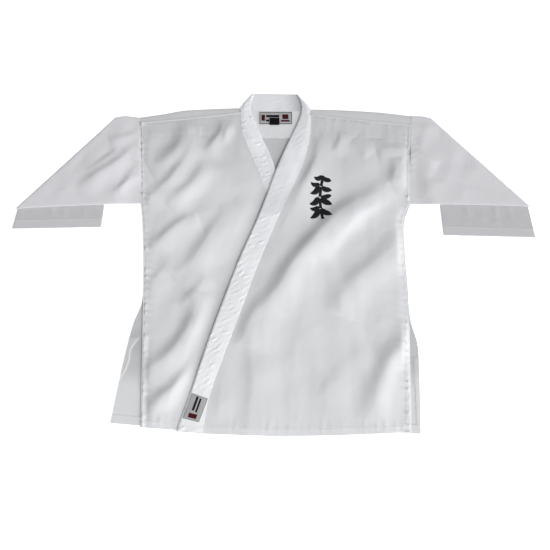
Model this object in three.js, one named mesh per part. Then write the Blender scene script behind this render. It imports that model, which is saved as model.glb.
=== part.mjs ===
// Karate gi jacket, laid out flat on its back with the left front over the right.
// Millimetres. +X is the wearer's left, +Y points to the neck, +Z is up from the surface it lies on.
// The origin is on the flat underside of the back, on the centre line.
import * as THREE from 'three';

// Cloth thicknesses and the room between layers
const WALL = 1.2;
const BAND_WALL = 3.0;
const LABEL_WALL = 1.0;
const SEAM_GAP = 0.3;
const LAYER_GAP = 0.4;

// Heights of the undersides of the fronts over the surface
const SEAT_HEIGHT = WALL + LAYER_GAP;
const PANEL_HEIGHT = 2.0;
const SHOULDER_HEIGHT = 5.4;
const OVERLAP_CLEARANCE = 0.5;

// Cloth that rolls over lands on its own layer: the middle of its wall turns at this radius
const ROLL_RADIUS = SHOULDER_HEIGHT / 2;
const ROLL_SETBACK = ROLL_RADIUS + WALL / 2;

// The body: the fold along the shoulders, seen from above, and the seams a little in front of it
const SHOULDER_FOLD = [
  { x: -311, y: 364 }, { x: -266, y: 371 }, { x: -208, y: 382 }, { x: -162, y: 385 }, { x: -84, y: 388 },
  { x: 0, y: 386.3 }, { x: 84, y: 385 }, { x: 126, y: 384 }, { x: 240, y: 377 }, { x: 311, y: 368 },
];
const NECK_HALF_WIDTH = 84.5;
const LINING_LOWER_EDGE = 317;
const LINING_HALF_WIDTH = 290;
const LINING_SETBACK = 3.6;

const BACK_EDGES = {
  right: [
    { y: -330, x: -340 }, { y: -264, x: -330 }, { y: -189, x: -317 }, { y: -118, x: -302 },
    { y: -75, x: -287 }, { y: 20, x: -287 }, { y: 126, x: -295 }, { y: 154, x: -299 },
  ],
  left: [
    { y: -352, x: 298 }, { y: -222, x: 301 }, { y: -163, x: 300 }, { y: -114, x: 288 }, { y: -47, x: 285 },
    { y: 44, x: 282 }, { y: 110, x: 284 }, { y: 152, x: 299 },
  ],
};
const BACK_HEM = [
  { x: -340, y: -330 }, { x: -278, y: -335 }, { x: 0, y: -346 }, { x: 200, y: -348 }, { x: 298, y: -352 },
];

// The lapel band: its seam to the front, and its free edge, from the hem to the side of the neck
const LEFT_LAPEL_SEAM = [
  { y: -352, x: -149 }, { y: -281, x: -139 }, { y: -197, x: -112 }, { y: -97, x: -76 }, { y: 4, x: -41 },
  { y: 136, x: 12 }, { y: 207, x: 44 }, { y: 266, x: 67 }, { y: 322, x: 79 }, { y: 382.4, x: 80.7 },
];
const LEFT_LAPEL_FREE = [
  { y: -348, x: -204 }, { y: -277, x: -180 }, { y: -155, x: -142 }, { y: -53, x: -107 }, { y: 20, x: -81 },
  { y: 137, x: -33 }, { y: 235, x: 1 }, { y: 274, x: 16 }, { y: 324, x: 38 }, { y: 348, x: 49 },
  { y: 379, x: 59 }, { y: 401, x: 59 }, { y: 424, x: 48.7 },
];
const RIGHT_LAPEL_SEAM = [
  { y: -346, x: 149 }, { y: -281, x: 139 }, { y: -197, x: 112 }, { y: -97, x: 76 }, { y: 4, x: 41 },
  { y: 136, x: -6 }, { y: 233, x: -40 }, { y: 290, x: -63 }, { y: 330, x: -76 }, { y: 385.3, x: -80.7 },
];
const RIGHT_LAPEL_FREE = [
  { y: -343, x: 204 }, { y: -277, x: 180 }, { y: -155, x: 142 }, { y: -53, x: 107 }, { y: 20, x: 81 },
  { y: 137, x: 36 }, { y: 235, x: 1 }, { y: 278, x: -15 }, { y: 319, x: -33 }, { y: 352, x: -47 },
  { y: 381, x: -57 }, { y: 401, x: -57 }, { y: 426, x: -50 },
];

// The folds that the cloth lies in: places along the crest, how high it stands, and the widths of
// its flanks to the left and to the right of the way along it
const RIGHT_FRONT_FOLDS = [
  { crest: [[-284, 236], [-230, 272], [-212, 296], [-196, 352]], height: 7, left: 20, right: 24 },
  { crest: [[-286, 152], [-262, 178], [-190, 276], [-176, 318]], height: 7, left: 14, right: 24 },
  { crest: [[-238, 146], [-184, 198], [-163, 230], [-151, 256]], height: 6, left: 16, right: 24 },
  { crest: [[-157, 272], [-136, 306], [-122, 326], [-117, 356]], height: 4.5, left: 9, right: 16 },
  { crest: [[-268, 42], [-236, 82], [-196, 112], [-170, 120]], height: 6, left: 13, right: 28 },
  { crest: [[-221, -22], [-188, 8], [-143, 78], [-97, 146]], height: 6, left: 16, right: 34 },
  { crest: [[-202, -84], [-165, -45], [-142, -16]], height: 4, left: 13, right: 26 },
  { crest: [[-252, -182], [-138, -100], [-84, -22], [-50, 56]], height: 8, left: 18, right: 38 },
  { crest: [[-252, -326], [-216, -262], [-180, -238], [-140, -196]], height: 7.5, left: 15, right: 32 },
];
const LEFT_FRONT_FOLDS = [
  { crest: [[-56, -118], [-1, -57], [85, 67], [143, 129], [258, 190]], height: 11, left: 20, right: 50 },
  { crest: [[138, -98], [150, -50], [188, 2], [236, 52], [284, 130]], height: 8, left: 22, right: 40 },
  { crest: [[204, -332], [212, -285], [238, -210], [286, -120]], height: 8, left: 18, right: 26 },
  { crest: [[-46, -350], [-34, -250], [-38, -180], [-30, -90]], height: 5, left: 16, right: 36 },
  { crest: [[117, -318], [110, -268], [134, -232], [206, -182]], height: 4, left: 20, right: 34 },
  { crest: [[60, 192], [90, 252], [96, 308]], height: 4, left: 11, right: 18 },
  { crest: [[133, 272], [147, 306], [153, 326]], height: 3, left: 9, right: 15 },
  { crest: [[228, 279], [252, 284], [284, 278], [300, 266]], height: 5, left: 12, right: 22 },
  { crest: [[262, 196], [270, 232], [266, 262]], height: 5, left: 14, right: 22 },
];
const CREST_STEPS = 24;
const HEM_FOLD_SHARE = 0.35;
const BAND_FOLD_SHARE = 0.3;

// The sleeves: outline corners of the straight tube and of its cuff end, which is folded behind
const SLEEVES = {
  right: {
    armhole: { top: [-311, 364], bottom: [-299, 154] },
    shoulderPoint: [-341, 368],
    fold: { top: [-362, 363], bottom: [-571, 140] },
    cuff: { top: [-383, 97], bottom: [-577, 92] },
    folds: [
      { crest: [[-439, 181], [-381, 231], [-323, 283], [-296, 305]], height: 4.5, left: 12, right: 22 },
      { crest: [[-363, 165], [-340, 189], [-320, 223], [-298, 254]], height: 4.0, left: 10, right: 18 },
      { crest: [[-374, 302], [-340, 314], [-304, 328]], height: 2.5, left: 9, right: 14 },
    ],
  },
  left: {
    armhole: { top: [311, 368], bottom: [299, 152] },
    shoulderPoint: [331, 367],
    fold: { top: [350, 363], bottom: [558, 147] },
    cuff: { top: [369, 81], bottom: [567, 76] },
    folds: [
      { crest: [[292, 288], [330, 268], [366, 246]], height: 3.5, left: 8, right: 20 },
      { crest: [[300, 350], [330, 340], [372, 336]], height: 2.0, left: 7, right: 14 },
      { crest: [[330, 156], [340, 184], [346, 212]], height: 3.0, left: 12, right: 20 },
    ],
  },
};
const SLEEVE_AXIS_HEIGHT = 3.6;
const SLEEVE_FOLD_RADIUS = { outer: 3.0, inner: 1.2 };

// Labels
const NECK_LABEL = { left: -36, right: 37, bottom: 351, top: 382 };
const SIZE_TAB = { left: -13, right: 9, bottom: 348, top: 368 };
const HEM_LABEL = { fromHem: 20, length: 52, inset: 6, width: 36 };

// How finely the walls are divided
const FRONT_COLUMNS = 24;
const FRONT_ROWS = 32;
const BAND_COLUMNS = 3;
const BACK_SHOULDER_COLUMNS = 7;
const BACK_NECK_COLUMNS = 6;
const BACK_ROWS = 14;
const ROLL_STEPS = 4;
const SLEEVE_STEPS = { across: 9, edge: 3, upper: 9, fold: 4, lower: 6 };

const CLOTH_COLOUR = 0xd9dbde;
const BAND_COLOUR = 0xe0e2e6;
const SLEEVE_COLOUR = 0xd6d6dc;
const LABEL_COLOUR = 0xa9a9ab;
const TAB_COLOUR = 0x16161a;

const UP = new THREE.Vector3(0, 0, 1);
const { lerp, smoothstep, clamp } = THREE.MathUtils;

// Curves and distances

function curveOver(rows, key, value) {
  const keys = rows.map((row) => row[key]);
  const values = rows.map((row) => row[value]);
  const cubic = new THREE.CubicInterpolant(keys, values, 1);
  return (at) => cubic.evaluate(clamp(at, keys[0], keys.at(-1)))[0];
}

function planPoint(pair) {
  return new THREE.Vector2(pair[0], pair[1]);
}

function pointOnLine(start, end, share) {
  return planPoint(start).lerp(planPoint(end), share);
}

function smoothLine(places) {
  const points = places.map(planPoint);
  let run = 0;
  const rows = points.map((point, k) => {
    if (k > 0) run += point.distanceTo(points[k - 1]);
    return { run, x: point.x, y: point.y };
  });
  const xAt = curveOver(rows, 'run', 'x');
  const yAt = curveOver(rows, 'run', 'y');
  const line = [];
  for (let k = 0; k <= CREST_STEPS; k += 1) {
    const at = run * k / CREST_STEPS;
    line.push(new THREE.Vector2(xAt(at), yAt(at)));
  }
  return line;
}

function layFolds(table) {
  return table.map((fold) => ({ ...fold, line: smoothLine(fold.crest) }));
}

// The share of the way along the line that is nearest to a point, and the distance to its left
function placeByLine(line, x, y) {
  let nearest = { distance: Infinity };
  for (let k = 0; k < CREST_STEPS; k += 1) {
    const step = line[k + 1].clone().sub(line[k]);
    const off = new THREE.Vector2(x, y).sub(line[k]);
    const share = clamp(off.dot(step) / step.lengthSq(), 0, 1);
    off.addScaledVector(step, -share);
    const distance = off.length();
    if (distance < nearest.distance) {
      nearest = { distance, along: (k + share) / CREST_STEPS, isLeft: step.cross(off) > 0 };
    }
  }
  return nearest;
}

function ridgeHeight(fold, x, y) {
  const { distance, along, isLeft } = placeByLine(fold.line, x, y);
  const taper = Math.sin(Math.PI * along) ** 0.8;
  const width = isLeft ? fold.left : fold.right;
  return fold.height * taper * Math.exp(-((distance / width) ** 2));
}

function foldedHeight(folds, x, y) {
  return folds.reduce((sum, fold) => sum + ridgeHeight(fold, x, y), 0);
}

// Closed walls: each station of a grid holds the two faces of the cloth at that place

function flatStation(x, y, underside, wall) {
  return { top: new THREE.Vector3(x, y, underside + wall), bottom: new THREE.Vector3(x, y, underside) };
}

function wallStation(middle, normal, wall) {
  return {
    top: middle.clone().addScaledVector(normal, wall / 2),
    bottom: middle.clone().addScaledVector(normal, -wall / 2),
  };
}

function grid(rows, columns, stationAt) {
  const stations = [];
  for (let i = 0; i <= rows; i += 1) {
    const row = [];
    for (let j = 0; j <= columns; j += 1) row.push(stationAt(i, j));
    stations.push(row);
  }
  return stations;
}

function signedVolume(points, faces) {
  let volume = 0;
  for (let f = 0; f < faces.length; f += 3) {
    const [a, b, c] = [points[faces[f]], points[faces[f + 1]], points[faces[f + 2]]];
    volume += a.dot(b.clone().cross(c)) / 6;
  }
  return volume;
}

function wallGeometry(stations, isRing = false) {
  const rows = stations.length;
  const columns = stations[0].length;
  const points = stations.flat().flatMap(({ top, bottom }) => [top, bottom]);
  const numberAt = (i, j) => 2 * (i * columns + j);
  const lastColumn = isRing ? columns : columns - 1;
  const cellCorners = (i, j) => {
    if (i < 0 || i >= rows - 1) return null;
    if (!isRing && (j < 0 || j >= lastColumn)) return null;
    const here = (j + columns) % columns;
    const next = (here + 1) % columns;
    return [numberAt(i, here), numberAt(i, next), numberAt(i + 1, next), numberAt(i + 1, here)];
  };
  const faces = [];
  const addQuad = (a, b, c, d) => faces.push(a, b, c, a, c, d);
  for (let i = 0; i < rows - 1; i += 1) {
    for (let j = 0; j < lastColumn; j += 1) {
      const corners = cellCorners(i, j);
      const [a, b, c, d] = corners;
      addQuad(a, b, c, d);
      addQuad(d + 1, c + 1, b + 1, a + 1);
      const neighbours = [[i - 1, j], [i, j + 1], [i + 1, j], [i, j - 1]].map(([m, n]) => cellCorners(m, n));
      neighbours.forEach((neighbour, side) => {
        if (neighbour) return;
        const from = corners[side];
        const to = corners[(side + 1) % 4];
        addQuad(from, from + 1, to + 1, to);
      });
    }
  }
  if (signedVolume(points, faces) < 0) faces.reverse();
  const geometry = new THREE.BufferGeometry().setFromPoints(points);
  geometry.setIndex(faces);
  geometry.computeVertexNormals();
  return geometry;
}

function clothMesh(name, stations, colour, isRing = false) {
  const material = new THREE.MeshStandardMaterial({ color: colour, roughness: 0.9, metalness: 0 });
  const mesh = new THREE.Mesh(wallGeometry(stations, isRing), material);
  mesh.name = name;
  return mesh;
}

// The outlines as functions

const shoulderFoldY = curveOver(SHOULDER_FOLD, 'x', 'y');
const backHemY = curveOver(BACK_HEM, 'x', 'y');

function makeSide(settings) {
  const { edge, hem, shoulderSeam, lapelSeam, lapelFree, sleeve, sign } = settings;
  const curvedEdge = curveOver(edge, 'y', 'x');
  const { top, bottom } = sleeve.armhole;
  const side = {
    sign,
    hemCorner: edge[0],
    armpitY: bottom[1],
    seamTopY: shoulderSeam.armholeY,
    neckY: shoulderSeam.neckY,
    hemY: curveOver(hem, 'x', 'y'),
    lapelSeamX: curveOver(lapelSeam, 'y', 'x'),
    lapelFreeX: curveOver(lapelFree, 'y', 'x'),
    seamRange: [lapelSeam[0].y, lapelSeam.at(-1).y],
    freeRange: [lapelFree[0].y, lapelFree.at(-1).y],
    sleeveFolds: layFolds(sleeve.folds),
  };
  side.edgeX = (y) => {
    if (y <= side.armpitY) return curvedEdge(y);
    return lerp(bottom[0], top[0], (y - bottom[1]) / (top[1] - bottom[1]));
  };
  side.shoulderSeamY = curveOver(shoulderSeam.rows, 'x', 'y');
  return side;
}

const rightSide = makeSide({
  sign: -1,
  sleeve: SLEEVES.right,
  edge: [
    { y: -339, x: -278 }, { y: -200, x: -281 }, { y: -75, x: -284 }, { y: 20, x: -287 },
    { y: 126, x: -295 }, { y: 154, x: -299 },
  ],
  hem: [{ x: -278, y: -339 }, { x: -190, y: -345 }, { x: 0, y: -349 }, { x: 149, y: -346 }],
  shoulderSeam: {
    armholeY: 350,
    neckY: 376,
    rows: [{ x: -311, y: 350 }, { x: -196, y: 362 }, { x: -80, y: 376 }],
  },
  lapelSeam: RIGHT_LAPEL_SEAM,
  lapelFree: RIGHT_LAPEL_FREE,
});

const leftSide = makeSide({
  sign: 1,
  sleeve: SLEEVES.left,
  edge: [
    { y: -349, x: 279 }, { y: -230, x: 282 }, { y: -114, x: 285 }, { y: -47, x: 285 },
    { y: 44, x: 282 }, { y: 110, x: 284 }, { y: 152, x: 299 },
  ],
  hem: [{ x: -149, y: -352 }, { x: 0, y: -357 }, { x: 140, y: -355 }, { x: 279, y: -349 }],
  shoulderSeam: {
    armholeY: 345,
    neckY: 371,
    rows: [{ x: 80, y: 371 }, { x: 194, y: 357 }, { x: 311, y: 345 }],
  },
  lapelSeam: LEFT_LAPEL_SEAM,
  lapelFree: LEFT_LAPEL_FREE,
});

// Heights of the undersides of the two fronts and their bands

const rightFolds = layFolds(RIGHT_FRONT_FOLDS);
const leftFolds = layFolds(LEFT_FRONT_FOLDS);

function edgeHeight(side, y) {
  return lerp(SEAT_HEIGHT, SHOULDER_HEIGHT, clamp((y - side.armpitY) / (side.seamTopY - side.armpitY), 0, 1));
}

function frontBase(side, x, y) {
  const inner = lerp(PANEL_HEIGHT, SHOULDER_HEIGHT, smoothstep(y, 255, 340));
  const inset = Math.abs(side.edgeX(y)) - x * side.sign;
  return lerp(edgeHeight(side, y), inner, smoothstep(inset, 0, 35));
}

function rightHeight(x, y) {
  const visible = smoothstep(leftSide.lapelFreeX(y) - x, 6, 42);
  const inset = smoothstep(Math.abs(rightSide.edgeX(y)) - x * rightSide.sign, 0, 20);
  const seam = lerp(BAND_FOLD_SHARE, 1, smoothstep(rightSide.lapelSeamX(y) - x, 0, 30));
  const hem = lerp(HEM_FOLD_SHARE, 1, smoothstep(y, -345, -270));
  const shoulder = smoothstep(rightSide.shoulderSeamY(x) - y, 0, 25);
  const folds = foldedHeight(rightFolds, x, y);
  return frontBase(rightSide, x, y) + folds * visible * inset * seam * hem * shoulder;
}

function liftOverRightFront(x, y) {
  const overBand = BAND_WALL + OVERLAP_CLEARANCE;
  const overPanel = WALL + OVERLAP_CLEARANCE;
  const pastFree = smoothstep(x - rightSide.lapelFreeX(y), 20, 60);
  const pastSeam = smoothstep(rightSide.lapelSeamX(y) - x, 20, 60);
  const panelSide = lerp(overBand, overPanel, pastSeam);
  return lerp(panelSide, 0, pastFree);
}

function leftHeight(x, y) {
  const inset = smoothstep(Math.abs(leftSide.edgeX(y)) - x, 0, 20);
  const seam = lerp(BAND_FOLD_SHARE, 1, smoothstep(x - leftSide.lapelSeamX(y), 0, 30));
  const hem = lerp(HEM_FOLD_SHARE, 1, smoothstep(y, -352, -275));
  const shoulder = smoothstep(leftSide.shoulderSeamY(x) - y, 0, 25);
  const folds = foldedHeight(leftFolds, x, y);
  const flatPart = frontBase(leftSide, x, y) + liftOverRightFront(x, y);
  return flatPart + folds * inset * seam * hem * shoulder;
}

// Back panel: flat on the surface, from the hem to the shoulders and the neck seam

function backColumns() {
  const reach = SLEEVES.right.armhole.top[0];
  const columns = [];
  for (let j = 0; j < BACK_SHOULDER_COLUMNS; j += 1) {
    columns.push(lerp(reach, -NECK_HALF_WIDTH, j / BACK_SHOULDER_COLUMNS));
  }
  for (let j = 0; j <= BACK_NECK_COLUMNS; j += 1) {
    columns.push(lerp(-NECK_HALF_WIDTH, NECK_HALF_WIDTH, j / BACK_NECK_COLUMNS));
  }
  for (let j = 1; j <= BACK_SHOULDER_COLUMNS; j += 1) {
    columns.push(lerp(NECK_HALF_WIDTH, -reach, j / BACK_SHOULDER_COLUMNS));
  }
  return columns;
}

function backEdgeX(rows, armhole, y) {
  const lowEdge = curveOver(rows, 'y', 'x');
  if (y <= armhole.bottom[1]) return lowEdge(y);
  const share = (y - armhole.bottom[1]) / (armhole.top[1] - armhole.bottom[1]);
  return lerp(armhole.bottom[0], armhole.top[0], share);
}

function backPoint(topX, share) {
  const [rightTopX, leftTopX] = [SLEEVES.right.armhole.top[0], SLEEVES.left.armhole.top[0]];
  const across = (topX - rightTopX) / (leftTopX - rightTopX);
  const rightTopY = shoulderFoldY(rightTopX) - ROLL_SETBACK;
  const leftTopY = shoulderFoldY(leftTopX) - ROLL_SETBACK;
  const [rightHem, leftHem] = [BACK_EDGES.right[0], BACK_EDGES.left[0]];
  const rightY = lerp(rightHem.y, rightTopY, share);
  const leftY = lerp(leftHem.y, leftTopY, share);
  const rightX = backEdgeX(BACK_EDGES.right, SLEEVES.right.armhole, rightY);
  const leftX = backEdgeX(BACK_EDGES.left, SLEEVES.left.armhole, leftY);
  const hemBend = backHemY(lerp(rightHem.x, leftHem.x, across)) - lerp(rightHem.y, leftHem.y, across);
  const topBend = shoulderFoldY(topX) - ROLL_SETBACK - lerp(rightTopY, leftTopY, across);
  const y = lerp(rightY, leftY, across) + share * topBend + (1 - share) * hemBend;
  return new THREE.Vector2(lerp(rightX, leftX, across), y);
}

function backPanel() {
  const columns = backColumns();
  const stations = grid(BACK_ROWS, columns.length - 1, (i, j) => {
    const point = backPoint(columns[j], i / BACK_ROWS);
    return flatStation(point.x, point.y, 0, WALL);
  });
  return clothMesh('back_panel', stations, CLOTH_COLOUR);
}

// Shoulders: the top of the back, turned over to the front and down to the shoulder seam

function shoulderRollStation(side, topX, angle) {
  const start = shoulderFoldY(topX) - ROLL_SETBACK + SEAM_GAP;
  const reach = ROLL_RADIUS - SEAM_GAP;
  const y = start + reach * Math.sin(angle);
  const z = WALL / 2 + ROLL_RADIUS - ROLL_RADIUS * Math.cos(angle);
  const x = side.sign * Math.min(Math.abs(topX), Math.abs(side.edgeX(y)));
  const normal = new THREE.Vector3(0, Math.sin(angle), -Math.cos(angle));
  return wallStation(new THREE.Vector3(x, y, z), normal, WALL);
}

function shoulderSeamStation(side, topX) {
  const x = side.sign * Math.min(Math.abs(topX), Math.abs(side.edgeX(side.seamTopY)));
  const y = side.shoulderSeamY(x) + SEAM_GAP;
  return wallStation(new THREE.Vector3(x, y, WALL / 2 + 2 * ROLL_RADIUS), UP, WALL);
}

function shoulder(name, side) {
  const reach = Math.abs(SLEEVES.left.armhole.top[0]);
  const stations = grid(ROLL_STEPS + 1, BACK_SHOULDER_COLUMNS, (i, j) => {
    const topX = side.sign * lerp(NECK_HALF_WIDTH, reach, j / BACK_SHOULDER_COLUMNS);
    if (i > ROLL_STEPS) return shoulderSeamStation(side, topX);
    return shoulderRollStation(side, topX, Math.PI * i / ROLL_STEPS);
  });
  return clothMesh(name, stations, CLOTH_COLOUR);
}

function yokeLining() {
  const columns = 16;
  const rows = 3;
  const stations = grid(rows, columns, (i, j) => {
    const x = lerp(-LINING_HALF_WIDTH, LINING_HALF_WIDTH, j / columns);
    const y = lerp(LINING_LOWER_EDGE, shoulderFoldY(x) - LINING_SETBACK, i / rows);
    return flatStation(x, y, WALL + SEAM_GAP, WALL);
  });
  return clothMesh('yoke_lining', stations, CLOTH_COLOUR);
}

// Fronts: a patch between the side edge, the lapel seam, the hem and the shoulder seam

function neckShare(side) {
  return (side.neckY - side.seamRange[0]) / (side.seamRange[1] - side.seamRange[0]);
}

function lapelSeamPoint(side, share) {
  const y = lerp(side.seamRange[0], side.seamRange[1], share);
  return new THREE.Vector2(side.lapelSeamX(y), y);
}

function lapelFreePoint(side, share) {
  const y = lerp(side.freeRange[0], side.freeRange[1], share);
  return new THREE.Vector2(side.lapelFreeX(y), y);
}

function frontPoint(side, across, up) {
  const seamPoint = lapelSeamPoint(side, up * neckShare(side));
  seamPoint.x += SEAM_GAP * side.sign;
  const lowSeam = lapelSeamPoint(side, 0);
  lowSeam.x += SEAM_GAP * side.sign;
  const highSeam = lapelSeamPoint(side, neckShare(side));
  highSeam.x += SEAM_GAP * side.sign;
  const edgeY = lerp(side.hemCorner.y, side.seamTopY, up);
  const topCornerX = side.edgeX(side.seamTopY);
  const hemX = lerp(side.hemCorner.x, lowSeam.x, across);
  const topX = lerp(topCornerX, highSeam.x, across);
  const evenHemY = lerp(side.hemCorner.y, lowSeam.y, across);
  const evenTopY = lerp(side.seamTopY, highSeam.y, across);
  const x = lerp(side.edgeX(edgeY), seamPoint.x, across);
  const hemBend = side.hemY(hemX) - evenHemY;
  const topBend = side.shoulderSeamY(topX) - evenTopY;
  const y = lerp(edgeY, seamPoint.y, across) + (1 - up) * hemBend + up * topBend;
  return new THREE.Vector2(x, y);
}

function frontPanel(name, side, heightAt) {
  const stations = grid(FRONT_ROWS, FRONT_COLUMNS, (i, j) => {
    const point = frontPoint(side, j / FRONT_COLUMNS, i / FRONT_ROWS);
    return flatStation(point.x, point.y, heightAt(point.x, point.y), WALL);
  });
  return clothMesh(name, stations, CLOTH_COLOUR);
}

// Bands: flat along the lapel, then rolled over at the side of the neck onto the neck band

function bandPoint(side, share, across) {
  return lapelSeamPoint(side, share).lerp(lapelFreePoint(side, share), across);
}

function neckRollStation(side, across, angle) {
  const seamEnd = lapelSeamPoint(side, 1);
  const freeEnd = lapelFreePoint(side, 1);
  const outward = new THREE.Vector2(freeEnd.y - seamEnd.y, seamEnd.x - freeEnd.x).normalize();
  if (outward.x * side.sign < 0) outward.negate();
  const point = bandPoint(side, 1, across).addScaledVector(outward, ROLL_RADIUS * Math.sin(angle));
  const z = BAND_WALL / 2 + ROLL_RADIUS * (1 + Math.cos(angle));
  const normal = new THREE.Vector3(outward.x * Math.sin(angle), outward.y * Math.sin(angle), Math.cos(angle));
  return wallStation(new THREE.Vector3(point.x, point.y, z), normal, BAND_WALL);
}

function lapelBand(name, side, heightAt) {
  const stations = grid(FRONT_ROWS, BAND_COLUMNS, (i, j) => {
    const point = bandPoint(side, neckShare(side) * i / FRONT_ROWS, j / BAND_COLUMNS);
    return flatStation(point.x, point.y, heightAt(point.x, point.y), BAND_WALL);
  });
  for (let step = 0; step <= ROLL_STEPS; step += 1) {
    const angle = Math.PI * step / ROLL_STEPS;
    const row = [];
    for (let j = 0; j <= BAND_COLUMNS; j += 1) row.push(neckRollStation(side, j / BAND_COLUMNS, angle));
    stations.push(row);
  }
  return clothMesh(name, stations, BAND_COLOUR);
}

function neckBand() {
  const columns = 8;
  const rows = 2;
  const seamStart = lapelSeamPoint(rightSide, 1);
  const seamEnd = lapelSeamPoint(leftSide, 1);
  const freeStart = lapelFreePoint(rightSide, 1);
  const freeEnd = lapelFreePoint(leftSide, 1);
  const stations = grid(rows, columns, (i, j) => {
    const seam = seamStart.clone().lerp(seamEnd, j / columns);
    const free = freeStart.clone().lerp(freeEnd, j / columns);
    const point = seam.lerp(free, i / rows);
    const inward = lerp(SEAM_GAP * 1.5, -SEAM_GAP * 1.5, j / columns);
    return flatStation(point.x + inward, point.y, 0, BAND_WALL);
  });
  return clothMesh('back_neck_band', stations, BAND_COLOUR);
}

// Sleeves: one flattened tube each, its rings fanning round to the fold and on to the cuff

function sleeveRing(sleeve, share) {
  const { armhole, shoulderPoint, fold } = sleeve;
  const top = share < 0.5
    ? pointOnLine(armhole.top, shoulderPoint, share * 2)
    : pointOnLine(shoulderPoint, fold.top, share * 2 - 1);
  return { top, bottom: pointOnLine(armhole.bottom, fold.bottom, share) };
}

function foldOutward(sleeve, sign) {
  const along = planPoint(sleeve.fold.bottom).sub(planPoint(sleeve.fold.top));
  const outward = new THREE.Vector2(-along.y, along.x).normalize();
  return outward.x * sign > 0 ? outward : outward.negate();
}

function upperHeights(sleeve, side, x, y, share) {
  const axis = SLEEVE_AXIS_HEIGHT;
  const farFront = axis + SLEEVE_FOLD_RADIUS.outer;
  const farBack = axis + SLEEVE_FOLD_RADIUS.inner;
  const innerCuffX = lerp(Math.abs(sleeve.fold.top[0]), Math.abs(sleeve.cuff.top[0]),
    clamp((sleeve.fold.top[1] - y) / (sleeve.fold.top[1] - sleeve.cuff.top[1]), 0, 1));
  const overCuff = smoothstep(Math.abs(x), innerCuffX - 44, innerCuffX - 8);
  const back = lerp(WALL / 2, farBack, overCuff);
  const nearFront = edgeHeight(side, y) + WALL / 2;
  const front = lerp(nearFront, farFront, smoothstep(Math.abs(x), 311, innerCuffX - 8));
  const relief = foldedHeight(side.sleeveFolds, x, y) * smoothstep(1 - share, 0, 0.25);
  return { back, front: Math.max(front, back + WALL + LAYER_GAP), relief };
}

function ringLoop(top, bottom, heightsAt, stackUp) {
  const along = bottom.clone().sub(top).normalize();
  const ends = [heightsAt(top, 0), heightsAt(bottom, 1)];
  const radii = ends.map(({ front, back }) => (front - back) / 2);
  const start = top.clone().addScaledVector(along, radii[0] + WALL / 2);
  const finish = bottom.clone().addScaledVector(along, -radii[1] - WALL / 2);
  const { across, edge } = SLEEVE_STEPS;
  const loop = [];
  for (let j = 0; j <= across; j += 1) {
    const plan = start.clone().lerp(finish, j / across);
    loop.push(stackUp(plan, heightsAt(plan, j / across).front, 1, 0, along));
  }
  for (let k = 1; k < edge + 1; k += 1) {
    const turn = Math.PI * k / (edge + 1);
    const middle = (ends[1].front + ends[1].back) / 2;
    const plan = finish.clone().addScaledVector(along, radii[1] * Math.sin(turn));
    loop.push(stackUp(plan, middle + radii[1] * Math.cos(turn), Math.cos(turn), Math.sin(turn), along));
  }
  for (let j = across; j >= 0; j -= 1) {
    const plan = start.clone().lerp(finish, j / across);
    loop.push(stackUp(plan, heightsAt(plan, j / across).back, -1, 0, along));
  }
  for (let k = 1; k < edge + 1; k += 1) {
    const turn = Math.PI * k / (edge + 1);
    const middle = (ends[0].front + ends[0].back) / 2;
    const plan = start.clone().addScaledVector(along, -radii[0] * Math.sin(turn));
    loop.push(stackUp(plan, middle - radii[0] * Math.cos(turn), -Math.cos(turn), -Math.sin(turn), along));
  }
  return loop;
}

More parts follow.
